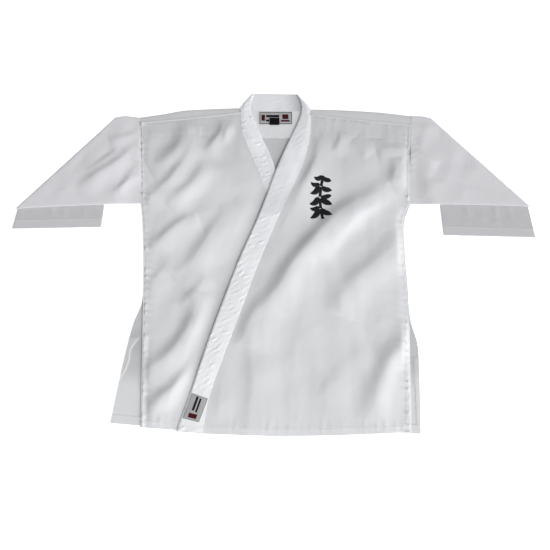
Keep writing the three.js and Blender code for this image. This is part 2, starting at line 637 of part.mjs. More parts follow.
function sleeveTube(name, sleeve, side) {
  const outward = foldOutward(sleeve, side.sign);
  const { outer, inner } = SLEEVE_FOLD_RADIUS;
  const foldInset = outer + WALL / 2;
  const foldTop = planPoint(sleeve.fold.top).addScaledVector(outward, -foldInset);
  const foldBottom = planPoint(sleeve.fold.bottom).addScaledVector(outward, -foldInset);
  const rings = [];
  const flatUp = (plan, height, upShare, alongShare, along) => {
    const normal = new THREE.Vector3(along.x * alongShare, along.y * alongShare, upShare);
    return wallStation(new THREE.Vector3(plan.x, plan.y, height), normal, WALL);
  };
  for (let i = 0; i < SLEEVE_STEPS.upper; i += 1) {
    const share = i / SLEEVE_STEPS.upper;
    const { top, bottom } = sleeveRing(sleeve, share);
    const shift = SEAM_GAP * side.sign;
    top.lerp(foldTop, share ** 4).add(new THREE.Vector2(shift, 0));
    bottom.lerp(foldBottom, share ** 4).add(new THREE.Vector2(shift, 0));
    const heightsAt = (plan, position) => {
      const heights = upperHeights(sleeve, side, plan.x, plan.y, share);
      const fade = Math.sin(Math.PI * clamp(position, 0, 1)) ** 0.5;
      return { back: heights.back, front: heights.front + heights.relief * fade };
    };
    rings.push(ringLoop(top, bottom, heightsAt, flatUp));
  }
  for (let k = 0; k <= SLEEVE_STEPS.fold; k += 1) {
    const angle = Math.PI * k / SLEEVE_STEPS.fold;
    const turned = (plan, height, upShare, alongShare, along) => {
      const lean = Math.sin(angle);
      const rise = Math.cos(angle);
      const middle = new THREE.Vector3(
        plan.x + outward.x * height * lean,
        plan.y + outward.y * height * lean,
        SLEEVE_AXIS_HEIGHT + height * rise,
      );
      const normal = new THREE.Vector3(
        along.x * alongShare + outward.x * lean * upShare,
        along.y * alongShare + outward.y * lean * upShare,
        rise * upShare,
      );
      return wallStation(middle, normal, WALL);
    };
    rings.push(ringLoop(foldTop, foldBottom, () => ({ front: outer, back: inner }), turned));
  }
  for (let i = 1; i <= SLEEVE_STEPS.lower; i += 1) {
    const share = i / SLEEVE_STEPS.lower;
    const top = foldTop.clone().lerp(planPoint(sleeve.cuff.top), share);
    const bottom = foldBottom.clone().lerp(planPoint(sleeve.cuff.bottom), share);
    const hanging = (plan, height, upShare, alongShare, along) => (
      flatUp(plan, SLEEVE_AXIS_HEIGHT - height, -upShare, alongShare, along)
    );
    rings.push(ringLoop(top, bottom, () => ({ front: outer, back: inner }), hanging));
  }
  return clothMesh(name, rings, SLEEVE_COLOUR, true);
}

// Labels, made from the points of what they are sewn to and moved out

function flatLabel(name, size, underside, colour) {
  const stations = grid(1, 2, (i, j) => {
    const x = lerp(size.left, size.right, j / 2);
    const y = lerp(size.bottom, size.top, i);
    return flatStation(x, y, underside, LABEL_WALL);
  });
  return clothMesh(name, stations, colour);
}

function hemLabel() {
  const bandLength = leftSide.seamRange[1] - leftSide.seamRange[0];
  const stations = grid(3, 2, (i, j) => {
    const share = (HEM_LABEL.fromHem + HEM_LABEL.length * i / 3) / bandLength;
    const free = lapelFreePoint(leftSide, share);
    const seam = lapelSeamPoint(leftSide, share);
    const toSeam = seam.clone().sub(free).normalize();
    const point = free.clone().addScaledVector(toSeam, HEM_LABEL.inset + HEM_LABEL.width * j / 2);
    const underside = leftHeight(point.x, point.y) + BAND_WALL + SEAM_GAP;
    return flatStation(point.x, point.y, underside, LABEL_WALL);
  });
  return clothMesh('hem_label', stations, LABEL_COLOUR);
}

const jacket = new THREE.Group();
const liningTop = 2 * WALL + SEAM_GAP;
jacket.add(
  backPanel(),
  shoulder('right_shoulder', rightSide),
  shoulder('left_shoulder', leftSide),
  yokeLining(),
  frontPanel('right_front', rightSide, rightHeight),
  frontPanel('left_front', leftSide, leftHeight),
  lapelBand('right_lapel_band', rightSide, rightHeight),
  lapelBand('left_lapel_band', leftSide, leftHeight),
  neckBand(),
  sleeveTube('right_sleeve', SLEEVES.right, rightSide),
  sleeveTube('left_sleeve', SLEEVES.left, leftSide),
  flatLabel('neck_label', NECK_LABEL, liningTop + SEAM_GAP, LABEL_COLOUR),
  flatLabel('size_tab', SIZE_TAB, liningTop + LABEL_WALL + 2 * SEAM_GAP, TAB_COLOUR),
  hemLabel(),
);

export default jacket;
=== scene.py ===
"""Karate gi jacket laid out flat: cloth, collar band, sewing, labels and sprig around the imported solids."""

import math
from types import SimpleNamespace

import bpy
import numpy as np
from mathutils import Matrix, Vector


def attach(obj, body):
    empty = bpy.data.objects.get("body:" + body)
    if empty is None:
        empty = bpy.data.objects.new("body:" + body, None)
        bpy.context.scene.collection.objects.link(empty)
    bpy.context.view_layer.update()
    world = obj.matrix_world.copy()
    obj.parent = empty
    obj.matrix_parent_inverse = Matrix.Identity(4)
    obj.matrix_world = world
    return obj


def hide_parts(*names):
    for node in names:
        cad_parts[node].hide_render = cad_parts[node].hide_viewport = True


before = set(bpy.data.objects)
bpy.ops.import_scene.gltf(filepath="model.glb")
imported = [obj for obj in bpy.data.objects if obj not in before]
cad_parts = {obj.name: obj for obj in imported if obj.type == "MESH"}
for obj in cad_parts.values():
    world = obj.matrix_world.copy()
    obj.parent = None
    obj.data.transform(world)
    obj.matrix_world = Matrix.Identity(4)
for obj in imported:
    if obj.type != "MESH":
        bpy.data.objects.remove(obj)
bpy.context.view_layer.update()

bl_info = {
    "name": "Karate gi jacket",
    "version": (1, 0, 0),
    "blender": (4, 5, 0),
    "location": "View3D > Sidebar > Gi",
    "description": "Dresses a karate gi jacket that is laid out flat",
    "category": "Object",
}

BODY = "root"
MM = 0.001

# Cloth thicknesses and layer heights in millimetres, as the solids have them
WALL = 1.2
BAND_WALL = 3.0
BAND_CLOTH = 2.3
LABEL_WALL = 1.0
SEAM_GAP = 0.3
SEAT_HEIGHT = 1.6
PANEL_HEIGHT = 2.0
SHOULDER_HEIGHT = 5.4
OVERLAP_CLEARANCE = 0.25
ROLL_RADIUS = SHOULDER_HEIGHT / 2
ROLL_SETBACK = ROLL_RADIUS + WALL / 2

# Outlines in millimetres: each row is the place along the curve, then the value there
SHOULDER_FOLD = [
    (-311, 364), (-266, 371), (-208, 382), (-162, 385), (-84, 388),
    (0, 386.3), (84, 385), (126, 384), (240, 377), (311, 368),
]
NECK_HALF_WIDTH = 84.5
LINING_LOWER_EDGE = 314
LINING_HALF_WIDTH = 290
LINING_SETBACK = 3.6
LINING_ROW_INSET = 3
BACK_EDGE_RIGHT = [
    (-330, -340), (-264, -330), (-189, -317), (-118, -302), (-75, -287), (20, -287), (126, -295), (154, -299),
]
BACK_EDGE_LEFT = [
    (-352, 298), (-222, 301), (-163, 300), (-114, 288), (-47, 285), (44, 282), (110, 284), (152, 299),
]
BACK_HEM = [(-340, -330), (-278, -335), (0, -346), (200, -348), (298, -352)]
LEFT_LAPEL_SEAM = [
    (-352, -149), (-281, -139), (-197, -112), (-97, -76), (4, -41),
    (136, 12), (207, 44), (266, 67), (322, 79), (382.4, 80.7),
]
LEFT_LAPEL_FREE = [
    (-348, -204), (-277, -180), (-155, -142), (-53, -107), (20, -81), (137, -33), (235, 1),
    (274, 16), (324, 38), (348, 49), (379, 59), (401, 59), (424, 48.7),
]
RIGHT_LAPEL_SEAM = [
    (-346, 149), (-281, 139), (-197, 112), (-97, 76), (4, 41),
    (136, -6), (233, -40), (290, -63), (330, -76), (385.3, -80.7),
]
RIGHT_LAPEL_FREE = [
    (-343, 204), (-277, 180), (-155, 142), (-53, 107), (20, 81), (137, 36), (235, 1),
    (278, -15), (319, -33), (352, -47), (381, -57), (401, -57), (426, -50),
]
RIGHT_EDGE = [(-339, -278), (-200, -281), (-75, -284), (20, -287), (126, -295), (154, -299)]
LEFT_EDGE = [(-349, 279), (-230, 282), (-114, 285), (-47, 285), (44, 282), (110, 284), (152, 299)]
RIGHT_HEM = [(-278, -339), (-190, -345), (0, -349), (149, -346)]
LEFT_HEM = [(-149, -352), (0, -357), (140, -355), (279, -349)]
RIGHT_SHOULDER_SEAM = [(-311, 350), (-196, 362), (-80, 376)]
LEFT_SHOULDER_SEAM = [(80, 371), (194, 357), (311, 345)]
RIGHT_VENT_TOP = -148
LEFT_VENT_TOP = -125
RIGHT_FACING = [
    (-340, -345), (-265, -338), (-240, -325), (-222, -315), (-199, -307), (-175, -304), (-148, -286),
]
LEFT_FACING_X = 289
LEFT_FACING_TOP = -190

# Folds of the cloth: places along the crest, then its height and the widths of its flanks to the
# left and to the right of the way along it, all in millimetres
RIGHT_FRONT_FOLDS = [
    ([(-284, 236), (-255, 252), (-230, 272), (-212, 296), (-202, 328), (-196, 352)], 7, 20, 20),
    ([(-286, 152), (-262, 178), (-236, 208), (-212, 240), (-190, 276), (-176, 318)], 7, 14, 22),
    ([(-238, 146), (-208, 176), (-184, 198), (-163, 230), (-151, 256)], 6, 16, 20),
    ([(-157, 272), (-136, 306), (-122, 326), (-117, 356)], 4.5, 9, 14),
    ([(-118, 296), (-111, 318), (-104, 345)], 3, 7, 9),
    ([(-268, 42), (-236, 82), (-196, 112), (-170, 120)], 6, 13, 24),
    ([(-221, -22), (-188, 8), (-143, 78), (-97, 146)], 6, 16, 30),
    ([(-202, -84), (-165, -45), (-142, -16)], 4, 13, 24),
    ([(-290, -232), (-240, -204), (-202, -162), (-174, -110), (-158, -50)], 9, 17, 26),
    ([(-254, -336), (-241, -288), (-203, -252), (-164, -206), (-138, -140)], 9, 15, 26),
    ([(-282, -40), (-256, -14), (-232, 14)], 1.0, 6, 12),
    ([(-150, -210), (-136, -160), (-126, -110)], 1.0, 8, 14),
]
LEFT_FRONT_FOLDS = [
    ([(-70, -170), (-52, -112), (-1, -57), (37, 7), (85, 67), (143, 129), (205, 165), (258, 190)],
     12, 20, 30),
    ([(92, 22), (142, 84), (192, 134), (252, 176)], 5, 24, 13),
    ([(136, -104), (152, -56), (192, -10), (240, 32), (272, 66), (292, 100)], 8.5, 26, 34),
    ([(198, -332), (208, -285), (236, -210), (272, -160), (290, -118)], 10, 24, 22),
    ([(-58, -350), (-44, -250), (-48, -180), (-46, -110)], 3.5, 16, 34),
    ([(117, -318), (110, -268), (134, -232), (206, -182)], 2.5, 22, 30),
    ([(22, 138), (44, 176), (72, 222), (92, 268), (98, 320)], 4.5, 11, 20),
    ([(133, 272), (147, 306), (153, 326)], 3, 9, 14),
    ([(228, 279), (252, 284), (284, 278), (300, 266)], 5, 12, 20),
    ([(262, 196), (270, 232), (266, 262)], 5, 14, 22),
    ([(175, 306), (212, 268)], 2.5, 18, 9),
    ([(40, -210), (52, -135), (70, -60)], 1.2, 14, 24),
    ([(196, 298), (230, 303), (262, 300)], 1.2, 6, 12),
]
FOLD_STRENGTH = 1.12
FOLD_TAPER = 0.6
FOLD_REACH = 2.6
RIGHT_FLANK_SPREAD = 1.2
HEM_FOLD_SHARE = 0.35
BAND_FOLD_SHARE = 0.3

# Sleeves: outline corners of the flattened tube and of its cuff end, which is folded behind
SLEEVE_FOLD_STRENGTH = {"right": 1.3, "left": 1.0}
SLEEVES = {
    "right": SimpleNamespace(
        armhole=((-311, 364), (-299, 154)),
        shoulder_point=(-341, 368),
        fold=((-364, 365), (-574, 142)),
        cuff=((-383, 99), (-579, 95)),
        folds=[
            ([(-439, 181), (-412, 207), (-381, 231), (-346, 256), (-323, 283), (-296, 305)], 4.5, 12, 22),
            ([(-363, 165), (-340, 189), (-320, 223), (-298, 254)], 4.0, 10, 18),
            ([(-374, 302), (-340, 314), (-304, 328)], 2.5, 9, 14),
            ([(-356, 180), (-330, 204), (-300, 226)], 2.0, 6, 11),
            ([(-420, 226), (-384, 256), (-350, 284)], 2.4, 8, 13),
        ],
    ),
    "left": SimpleNamespace(
        armhole=((311, 368), (299, 152)),
        shoulder_point=(331, 367),
        fold=((354, 364), (563, 147)),
        cuff=((369, 80), (570, 75)),
        folds=[
            ([(292, 288), (330, 268), (366, 246)], 3.5, 8, 20),
            ([(300, 350), (330, 340), (372, 336)], 2.0, 7, 14),
            ([(330, 156), (340, 184), (346, 212)], 3.0, 12, 20),
            ([(404, 152), (414, 174), (420, 196)], 1.2, 8, 14),
            ([(500, 150), (512, 164), (520, 176)], 1.0, 8, 12),
            ([(300, 232), (324, 220), (346, 206)], 0.8, 5, 9),
        ],
    ),
}
CUFF_HEM = 20
SLEEVE_AXIS_HEIGHT = 3.6
FOLD_OUTER = 3.0
FOLD_INNER = 1.2

# Tones of the cloth: below zero it is darkened with painted shade, up to one it is whitened, and above one it
# is brightest
# Painted shade on the cuff strip that shows behind each sleeve, a little lighter on its hem
CUFF_SHADE = -0.6
CUFF_HEM_SHADE = -0.42
# Painted shade on the back inside the neck, and a painted shadow beside the left band there
NECK_SHADE = -0.62
UNDER_LAPEL_SHADOW = -0.3
# Painted shade in the back's vents and on their facings, darker towards the top and lighter at the bottom,
# with painted shade in the right vent's pocket and a painted shadow beside the fronts' edges
VENT_SHADE = -0.6
LOW_VENT_TONE = 0.2
FACING_SHADE = -0.45
LOW_FACING_TONE = 0.4
# Painted highlight along the rim of the right facing
FACING_RIM_HIGHLIGHT = 0.9
POCKET_SHADE = -0.45
FRONT_EDGE_SHADOW = -0.4
# The fronts' vent edges lie double and look whiter; on the right the tone above one is painted light as well
VENT_EDGE_DOUBLE_AND_LIGHT = {"right": 1.7, "left": 0.8}
# Painted shade on the turned-over shoulder strips and on the fronts towards the shoulder
SHOULDER_SHADE = -0.24
UPPER_FRONT_SHADE = -0.42
LINING_TONE = 0.6
# Painted shadow on the lining beside the left band
LINING_UNDER_LAPEL_SHADOW = -1.0
LAPEL_ABOVE_JOINT = (-0.15, 0.6)
LAPEL_BELOW_JOINT = (1.5, 1.15)
RIGHT_TURN_TONE = 0.2
LEFT_TURN_TONE = 0.0
# Painted shade on the band behind the neck, towards its left and right ends
NECK_BAND_LEFT_SHADE = -1.1
NECK_BAND_RIGHT_SHADE = -0.6

# Labels in millimetres
NECK_LABEL = (-36.5, 38.5, 347.5, 379)
SIZE_TAB = (-13, 9, 344.5, 364.5)
HEM_LABEL_FROM_HEM = 24
HEM_LABEL_LENGTH = 50
HEM_LABEL_INSET = 3.5
HEM_LABEL_WIDTH = 36
HEM_LABEL_TILT = 4.5
NECK_LABEL_DARK_BARS = [(15, 45, 17.5, 23.5), (15, 22, 7, 12)]
NECK_LABEL_RED_BLOCKS = [(4.5, 12.5, 9, 24), (49, 69, 6.5, 11), (52, 66, 13, 25)]
HEM_LABEL_DARK_BARS = [(12, 17, 19, 47), (20, 24, 17, 45)]
HEM_LABEL_RED_BLOCKS = [(9, 27, 4.5, 13.5)]

# Cut sizes of the cloth sheets, in metres and square metres
BACK_CUT = dict(flat=(0.66, 0.76), area=0.47)
LINING_CUT = dict(flat=(0.58, 0.066))
FRONT_CUT = dict(flat=(0.43, 0.73), area=0.238)
COLLAR_CUT = dict(flat=(0.046, 1.79))
SLEEVE_CUT = dict(flat=(0.44, 0.36), area=0.13)
NECK_LABEL_CUT = dict(flat=(0.075, 0.0315))
SIZE_TAB_CUT = dict(flat=(0.022, 0.036))
HEM_LABEL_CUT = dict(flat=(0.036, 0.05))

# Camera and light, in metres
CAMERA_PLACE = (-0.0011, -0.5661, 1.816)
CAMERA_TARGET = (-0.0011, -0.0109, 0.0)
CAMERA_LENS_MM = 57.4
KEY_PLACE = (2.4, -1.35, 1.8)
KEY_SPREAD_DEGREES = 60
KEY_STRENGTH = 2.95
FILL_PLACE = (0.25, -1.05, 0.95)
FILL_TARGET = (0, -0.15, 0)
FILL_SIZE = 0.9
FILL_POWER = 2.3
WORLD_STRENGTH = 0.27
FLOOR_GLOW = 0.62
FLOOR_REACH = 6.0
FLOOR_HEIGHT = -0.0004


class GiSizes(bpy.types.PropertyGroup):
    """Sizes of the sewing and the weave"""

    hem_width: bpy.props.FloatProperty(
        name="Hem width", description="Width of the turned-up hem", default=0.017, min=0.005,
        subtype="DISTANCE", unit="LENGTH")
    weave_pitch: bpy.props.FloatProperty(
        name="Weave pitch", description="Distance from thread to thread", default=0.0009, min=0.0002,
        subtype="DISTANCE", unit="LENGTH")
    stitch_pitch: bpy.props.FloatProperty(
        name="Stitch pitch", description="Distance from stitch to stitch", default=0.003, min=0.001,
        subtype="DISTANCE", unit="LENGTH")
    stitch_length: bpy.props.FloatProperty(
        name="Stitch length", description="Length of the thread that shows", default=0.0025, min=0.0005,
        subtype="DISTANCE", unit="LENGTH")
    stitch_width: bpy.props.FloatProperty(
        name="Stitch width", description="Thickness of the sewing thread", default=0.0007, min=0.0002,
        subtype="DISTANCE", unit="LENGTH")
    quilting_depth: bpy.props.FloatProperty(
        name="Quilting depth", description="Depth of the puckers in the band", default=0.0007, min=0.0,
        subtype="DISTANCE", unit="LENGTH")


class GiColours(bpy.types.PropertyGroup):
    """Colours of the cloth, thread and labels"""

    cloth: bpy.props.FloatVectorProperty(
        name="Cloth", description="Bleached cotton of the body", default=(0.80, 0.81, 0.83),
        subtype="COLOR", min=0, max=1)
    sleeve: bpy.props.FloatVectorProperty(
        name="Sleeve cloth", description="Cotton of the sleeves", default=(0.78, 0.78, 0.81),
        subtype="COLOR", min=0, max=1)
    band: bpy.props.FloatVectorProperty(
        name="Band cloth", description="Cotton of the collar band", default=(0.88, 0.89, 0.92),
        subtype="COLOR", min=0, max=1)
    thread: bpy.props.FloatVectorProperty(
        name="Sewing thread", description="White sewing thread", default=(0.93, 0.93, 0.94),
        subtype="COLOR", min=0, max=1)
    label: bpy.props.FloatVectorProperty(
        name="Label", description="Woven satin of the labels", default=(0.42, 0.42, 0.43),
        subtype="COLOR", min=0, max=1)
    dark: bpy.props.FloatVectorProperty(
        name="Black thread", description="Black tape and embroidery thread", default=(0.005, 0.005, 0.007),
        subtype="COLOR", min=0, max=1)
    accent: bpy.props.FloatVectorProperty(
        name="Accent", description="Dark red of the label marks", default=(0.06, 0.002, 0.006),
        subtype="COLOR", min=0, max=1)
    floor: bpy.props.FloatVectorProperty(
        name="Floor", description="Pale studio floor", default=(0.9, 0.9, 0.9),
        subtype="COLOR", min=0, max=1)


# Curves and fields over the cloth, in millimetres


def curve_over(rows):
    """A smooth curve through rows of (place, value), held level past its ends."""
    keys = np.array([row[0] for row in rows], dtype=float)
    values = np.array([row[1] for row in rows], dtype=float)
    secants = np.diff(values) / np.diff(keys)
    slopes = np.concatenate([secants[:1], (secants[1:] + secants[:-1]) / 2, secants[-1:]])

    def at(place):
        place = np.clip(place, keys[0], keys[-1])
        index = np.clip(np.searchsorted(keys, place, side="right") - 1, 0, len(keys) - 2)
        span = keys[index + 1] - keys[index]
        t = (place - keys[index]) / span
        start = values[index] * (1 + 2 * t) * (1 - t) ** 2 + slopes[index] * span * t * (1 - t) ** 2
        end = values[index + 1] * t * t * (3 - 2 * t) + slopes[index + 1] * span * t * t * (t - 1)
        return start + end

    return at


def lerp(start, end, share):
    return start + (end - start) * share


def smoothstep(value, low, high):
    share = np.clip((value - low) / (high - low), 0, 1)
    return share * share * (3 - 2 * share)


def bump_at(distance, width):
    """A bell of height one over zero distance."""
    return np.exp(-((distance / width) ** 2))


def run_along(points):
    """Length of the way from the first point to each of the points."""
    return np.concatenate([[0.0], np.cumsum(np.linalg.norm(np.diff(points, axis=0), axis=1))])


def directions_along(points):
    """Unit tangents of a line of the plane, and unit normals to the left of them."""
    tangent = np.gradient(points, axis=0)
    tangent /= np.linalg.norm(tangent, axis=1)[:, None]
    return tangent, np.stack([-tangent[:, 1], tangent[:, 0]], axis=1)


def smooth_line(places, pieces):
    """Points at even steps along a smooth line through the given places."""
    places = np.array(places, dtype=float)
    run = run_along(places)
    at = np.linspace(0, run[-1], pieces + 1)
    return np.stack([curve_over(np.stack([run, places[:, k]], axis=1))(at) for k in (0, 1)], axis=1)


def place_by_line(places, x, y, pieces=30):
    """For each point, the share of the way along the line and the distance to the left of it."""
    line = smooth_line(places, pieces)
    step = np.diff(line, axis=0)
    from_x = x[:, None] - line[:-1, 0]
    from_y = y[:, None] - line[:-1, 1]
    share = np.clip((from_x * step[:, 0] + from_y * step[:, 1]) / (step ** 2).sum(axis=1), 0, 1)
    off_x = from_x - share * step[:, 0]
    off_y = from_y - share * step[:, 1]
    distance = np.hypot(off_x, off_y)
    nearest = distance.argmin(axis=1)
    rows = np.arange(len(x))
    side = np.sign(step[nearest, 0] * off_y[rows, nearest] - step[nearest, 1] * off_x[rows, nearest])
    return (nearest + share[rows, nearest]) / pieces, side * distance[rows, nearest]


def ridges(folds, x, y):
    """Height of the folds at x, y."""
    x, y = np.broadcast_arrays(x, y)
    total = np.zeros(x.shape)
    for places, height, left, right in folds:
        reach = FOLD_REACH * max(left, right)
        low_x, low_y = np.min(places, axis=0) - reach
        high_x, high_y = np.max(places, axis=0) + reach
        near = (x > low_x) & (x < high_x) & (y > low_y) & (y < high_y)
        along, off = place_by_line(places, x[near], y[near])
        taper = np.maximum(np.sin(math.pi * along), 0) ** FOLD_TAPER
        flank = (1.4 - 0.45 * taper) * np.where(off > 0, left, RIGHT_FLANK_SPREAD * right)
        total[near] += FOLD_STRENGTH * height * taper * bump_at(off, flank)
    return total


def undulation(x, y, seed, wavelength, heading=0.0, spread=math.pi, waves=14):
    """Smooth seeded waves of about unit height; heading is the direction that they run across."""
    random = np.random.default_rng(seed)
    total = np.zeros(np.broadcast(x, y).shape)
    for _ in range(waves):
        angle = heading + random.uniform(-spread / 2, spread / 2)
        number = 2 * math.pi / (wavelength * random.uniform(0.65, 1.5))
        phase = random.uniform(0, 2 * math.pi)
        total = total + np.sin(number * (x * math.cos(angle) + y * math.sin(angle)) + phase)
    return total * math.sqrt(2 / waves)


def puckers(distance, along, seed, pitch, reach):
    """Little waves along a seam that die away from it; positive only."""
    wave = undulation(along, distance * 0.6, seed, pitch, 0.0, 0.7, 8)
    return np.maximum(wave, 0) * np.exp(-np.maximum(distance, 0) / reach) * smoothstep(distance, 0, 2.5)


def fine_shares(count, places=(), reach=0.004, steps=7):
    """Shares from 0 to 1 at even steps, with closer steps about each of the given places."""
    shares = [np.linspace(0, 1, count + 1)]
    for place in places:
        shares.append(np.linspace(place - reach, place + reach, steps))
    merged = np.unique(np.round(np.clip(np.concatenate(shares), 0, 1), 6))
    kept = np.concatenate([[True], np.diff(merged) > 0.12 / count])
    merged = merged[kept]
    merged[-1] = 1.0
    return merged


shoulder_fold_y = curve_over(SHOULDER_FOLD)
back_hem_y = curve_over(BACK_HEM)
right_facing_x = curve_over(RIGHT_FACING)


def armhole_x(sleeve, y):
    """Where the armhole seam lies at the height y."""
    top, bottom = sleeve.armhole
    return lerp(bottom[0], top[0], (y - bottom[1]) / (top[1] - bottom[1]))


def edge_curve(rows, sleeve):
    """A side edge: its own curve up to the armpit, and the armhole above it."""
    low_edge = curve_over(rows)
    armpit_y = sleeve.armhole[1][1]

    def at(y):
        return np.where(y <= armpit_y, low_edge(y), armhole_x(sleeve, y))

    return at


back_right_x = edge_curve(BACK_EDGE_RIGHT, SLEEVES["right"])
back_left_x = edge_curve(BACK_EDGE_LEFT, SLEEVES["left"])


def make_side(name, sign, edge, hem, shoulder_seam, lapel_seam, lapel_free, vent_top, folds, fold_rise, seed):
    """The outline curves, folds and sleeve of one half of the jacket."""
    sleeve = SLEEVES[name]
    seam_from_neck = shoulder_seam[::sign]
    return SimpleNamespace(
        name=name,
        sign=sign,
        corner=(edge[0][1], edge[0][0]),
        armpit_y=sleeve.armhole[1][1],
        vent_top=vent_top,
        seam_top_y=seam_from_neck[-1][1],
        neck_y=seam_from_neck[0][1],
        folds=folds,
        fold_rise=fold_rise,
        seed=seed,
        edge_x=edge_curve(edge, sleeve),
        hem_y=curve_over(hem),
        shoulder_seam_y=curve_over(shoulder_seam),
        lapel_seam_x=curve_over(lapel_seam),
        lapel_free_x=curve_over(lapel_free),
        seam_range=(lapel_seam[0][0], lapel_seam[-1][0]),
        free_range=(lapel_free[0][0], lapel_free[-1][0]),
        sleeve=sleeve,
    )


RIGHT = make_side(
    "right", -1, RIGHT_EDGE, RIGHT_HEM, RIGHT_SHOULDER_SEAM, RIGHT_LAPEL_SEAM, RIGHT_LAPEL_FREE,
    RIGHT_VENT_TOP, RIGHT_FRONT_FOLDS, (-345, -270), 11)
LEFT = make_side(
    "left", 1, LEFT_EDGE, LEFT_HEM, LEFT_SHOULDER_SEAM, LEFT_LAPEL_SEAM, LEFT_LAPEL_FREE,
    LEFT_VENT_TOP, LEFT_FRONT_FOLDS, (-352, -275), 23)


def inset_from_edge(side, x, y):
    return np.abs(side.edge_x(y)) - x * side.sign


def in_vent(side, y, reach=4):
    """One below the top of the side's vent."""
    return 1 - smoothstep(y, side.vent_top - reach, side.vent_top + reach)


def edge_height(side, y):
    share = np.clip((y - side.armpit_y) / (side.seam_top_y - side.armpit_y), 0, 1)
    return lerp(SEAT_HEIGHT, SHOULDER_HEIGHT, share)


def front_base(side, x, y):
    inner = lerp(PANEL_HEIGHT, SHOULDER_HEIGHT, smoothstep(y, 255, 340))
    return lerp(edge_height(side, y), inner, smoothstep(inset_from_edge(side, x, y), 0, 35))


def right_visible(x, y):
    """One where the right front shows, zero where the left front covers it."""
    return smoothstep(LEFT.lapel_free_x(y) - x, 6, 42)


def fold_limits(side, x, y):
    """How much of the folds is left near the edges, the seams and the hem."""
    inset = smoothstep(inset_from_edge(side, x, y), 0, 20)
    from_seam = (x - side.lapel_seam_x(y)) * side.sign
    seam = lerp(BAND_FOLD_SHARE, 1, smoothstep(from_seam, 0, 30))
    hem = lerp(HEM_FOLD_SHARE, 1, smoothstep(y, *side.fold_rise))
    shoulder = smoothstep(side.shoulder_seam_y(x) - y, 0, 12)
    return inset * seam * hem * shoulder


def lift_over_right_front(x, y):
    """How far the left front is lifted by the right one and its band under it."""
    over_band = BAND_CLOTH + OVERLAP_CLEARANCE
    over_panel = WALL + OVERLAP_CLEARANCE
    past_free = smoothstep(x - RIGHT.lapel_free_x(y), 20, 60)
    past_seam = smoothstep(RIGHT.lapel_seam_x(y) - x, 20, 60)
    return lerp(lerp(over_band, over_panel, past_seam), 0, past_free)


def softness(side, x, y):
    """The unevenness of cloth that has been worn and pressed."""
    broad = undulation(x, y, side.seed, 74, 2.3, 2.0)
    middle = undulation(x, y, side.seed + 1, 30, 2.4, 1.8)
    small = undulation(x, y, side.seed + 2, 11, 0.0, math.pi)
    inset = smoothstep(inset_from_edge(side, x, y), 0, 26)
    return (1.3 + 0.45 * broad + 0.07 * middle) * inset + 0.012 * small


def front_height(side, x, y):
    """Underside of a front, with its folds and unevenness."""
    limits = fold_limits(side, x, y)
    lift = ridges(side.folds, x, y) * limits + softness(side, x, y) * np.clip(limits + 0.2, 0, 1)
    if side is RIGHT:
        return front_base(side, x, y) + lift * right_visible(x, y)
    return front_base(side, x, y) + lift_over_right_front(x, y) + lift


# Sewing of the fronts, in millimetres: insets of the stitch rows and the tacks at the side edges
HEM_ROW_INSET = 1.6
VENT_ROW_INSET = 10.5
ARMHOLE_ROW_INSETS = (2.2, 6.6)
SHOULDER_ROW_INSET = 2.2
TACK_INSET = 4
TACKS = {"right": (-71, -146, -187), "left": (-125,)}
VENT_TILT = {"right": 0.7, "left": 0.0}


def hem_width():
    """Width of the turned-up hem, in millimetres."""
    return bpy.context.scene.gi_sizes.hem_width / MM


def edge_relief(side, x, y):
    """Pressed vent border, puckers, tacks and armhole welt beside a front's side edge."""
    inset = inset_from_edge(side, x, y)
    border = 0.5 * (1 - smoothstep(inset, 11.4, 12.6)) * in_vent(side, y)
    tilt = VENT_TILT[side.name] * (1 - smoothstep(inset, 2, 15)) * in_vent(side, y)
    ripples = 2.0 * puckers(inset - 3, y + 0.3 * x, 37, 17, 9)
    above_armpit = smoothstep(y, side.armpit_y - 4, side.armpit_y + 4)
    welt = 0.25 * (1 - smoothstep(inset, 7.0, 8.2)) * above_armpit
    tacks = sum(bump_at(np.hypot(inset - TACK_INSET, (y - place) * 1.8), 3.2) for place in TACKS[side.name])
    return border + tilt, ripples + welt - 0.9 * tacks


def seam_relief(side, x, y):
    """Small forms that sewing gives the front: welts, pressed hems and puckers."""
    from_hem = y - side.hem_y(x)
    from_shoulder = side.shoulder_seam_y(x) - y
    from_hem_row = from_hem - hem_width() + HEM_ROW_INSET
    hem_step = 0.55 * (1 - smoothstep(from_hem, hem_width() - 0.6, hem_width() + 0.6))
    hem_sewing = 0.9 * puckers(np.abs(from_hem_row), x, 31, 15, 9) - 0.45 * bump_at(from_hem_row, 0.9)
    vent_step, edge = edge_relief(side, x, y)
    shoulder_welt = 0.9 * (1 - smoothstep(from_shoulder, 2.2, 4.4))
    shoulder_puckers = 0.35 * puckers(from_shoulder - 3, x, 41, 17, 12)
    return np.maximum(hem_step, vent_step) + edge + hem_sewing + shoulder_welt + shoulder_puckers


def yoke_line_relief(side, x, y):
    """The shallow groove where the yoke lining is sewn through the front."""
    line = yoke_line_y(side, x)
    inset = smoothstep(inset_from_edge(side, x, y), 4, 10)
    return (0.35 * puckers(np.abs(y - line), x, 43, 21, 10) - 0.3 * bump_at(y - line, 1.1)) * inset


def yoke_line_y(side, x):
    if side is RIGHT:
        return lerp(318, 325, np.clip((x + 252) / 137, 0, 1))
    return lerp(316, 311, np.clip((x - 147) / 148, 0, 1))


# Meshes


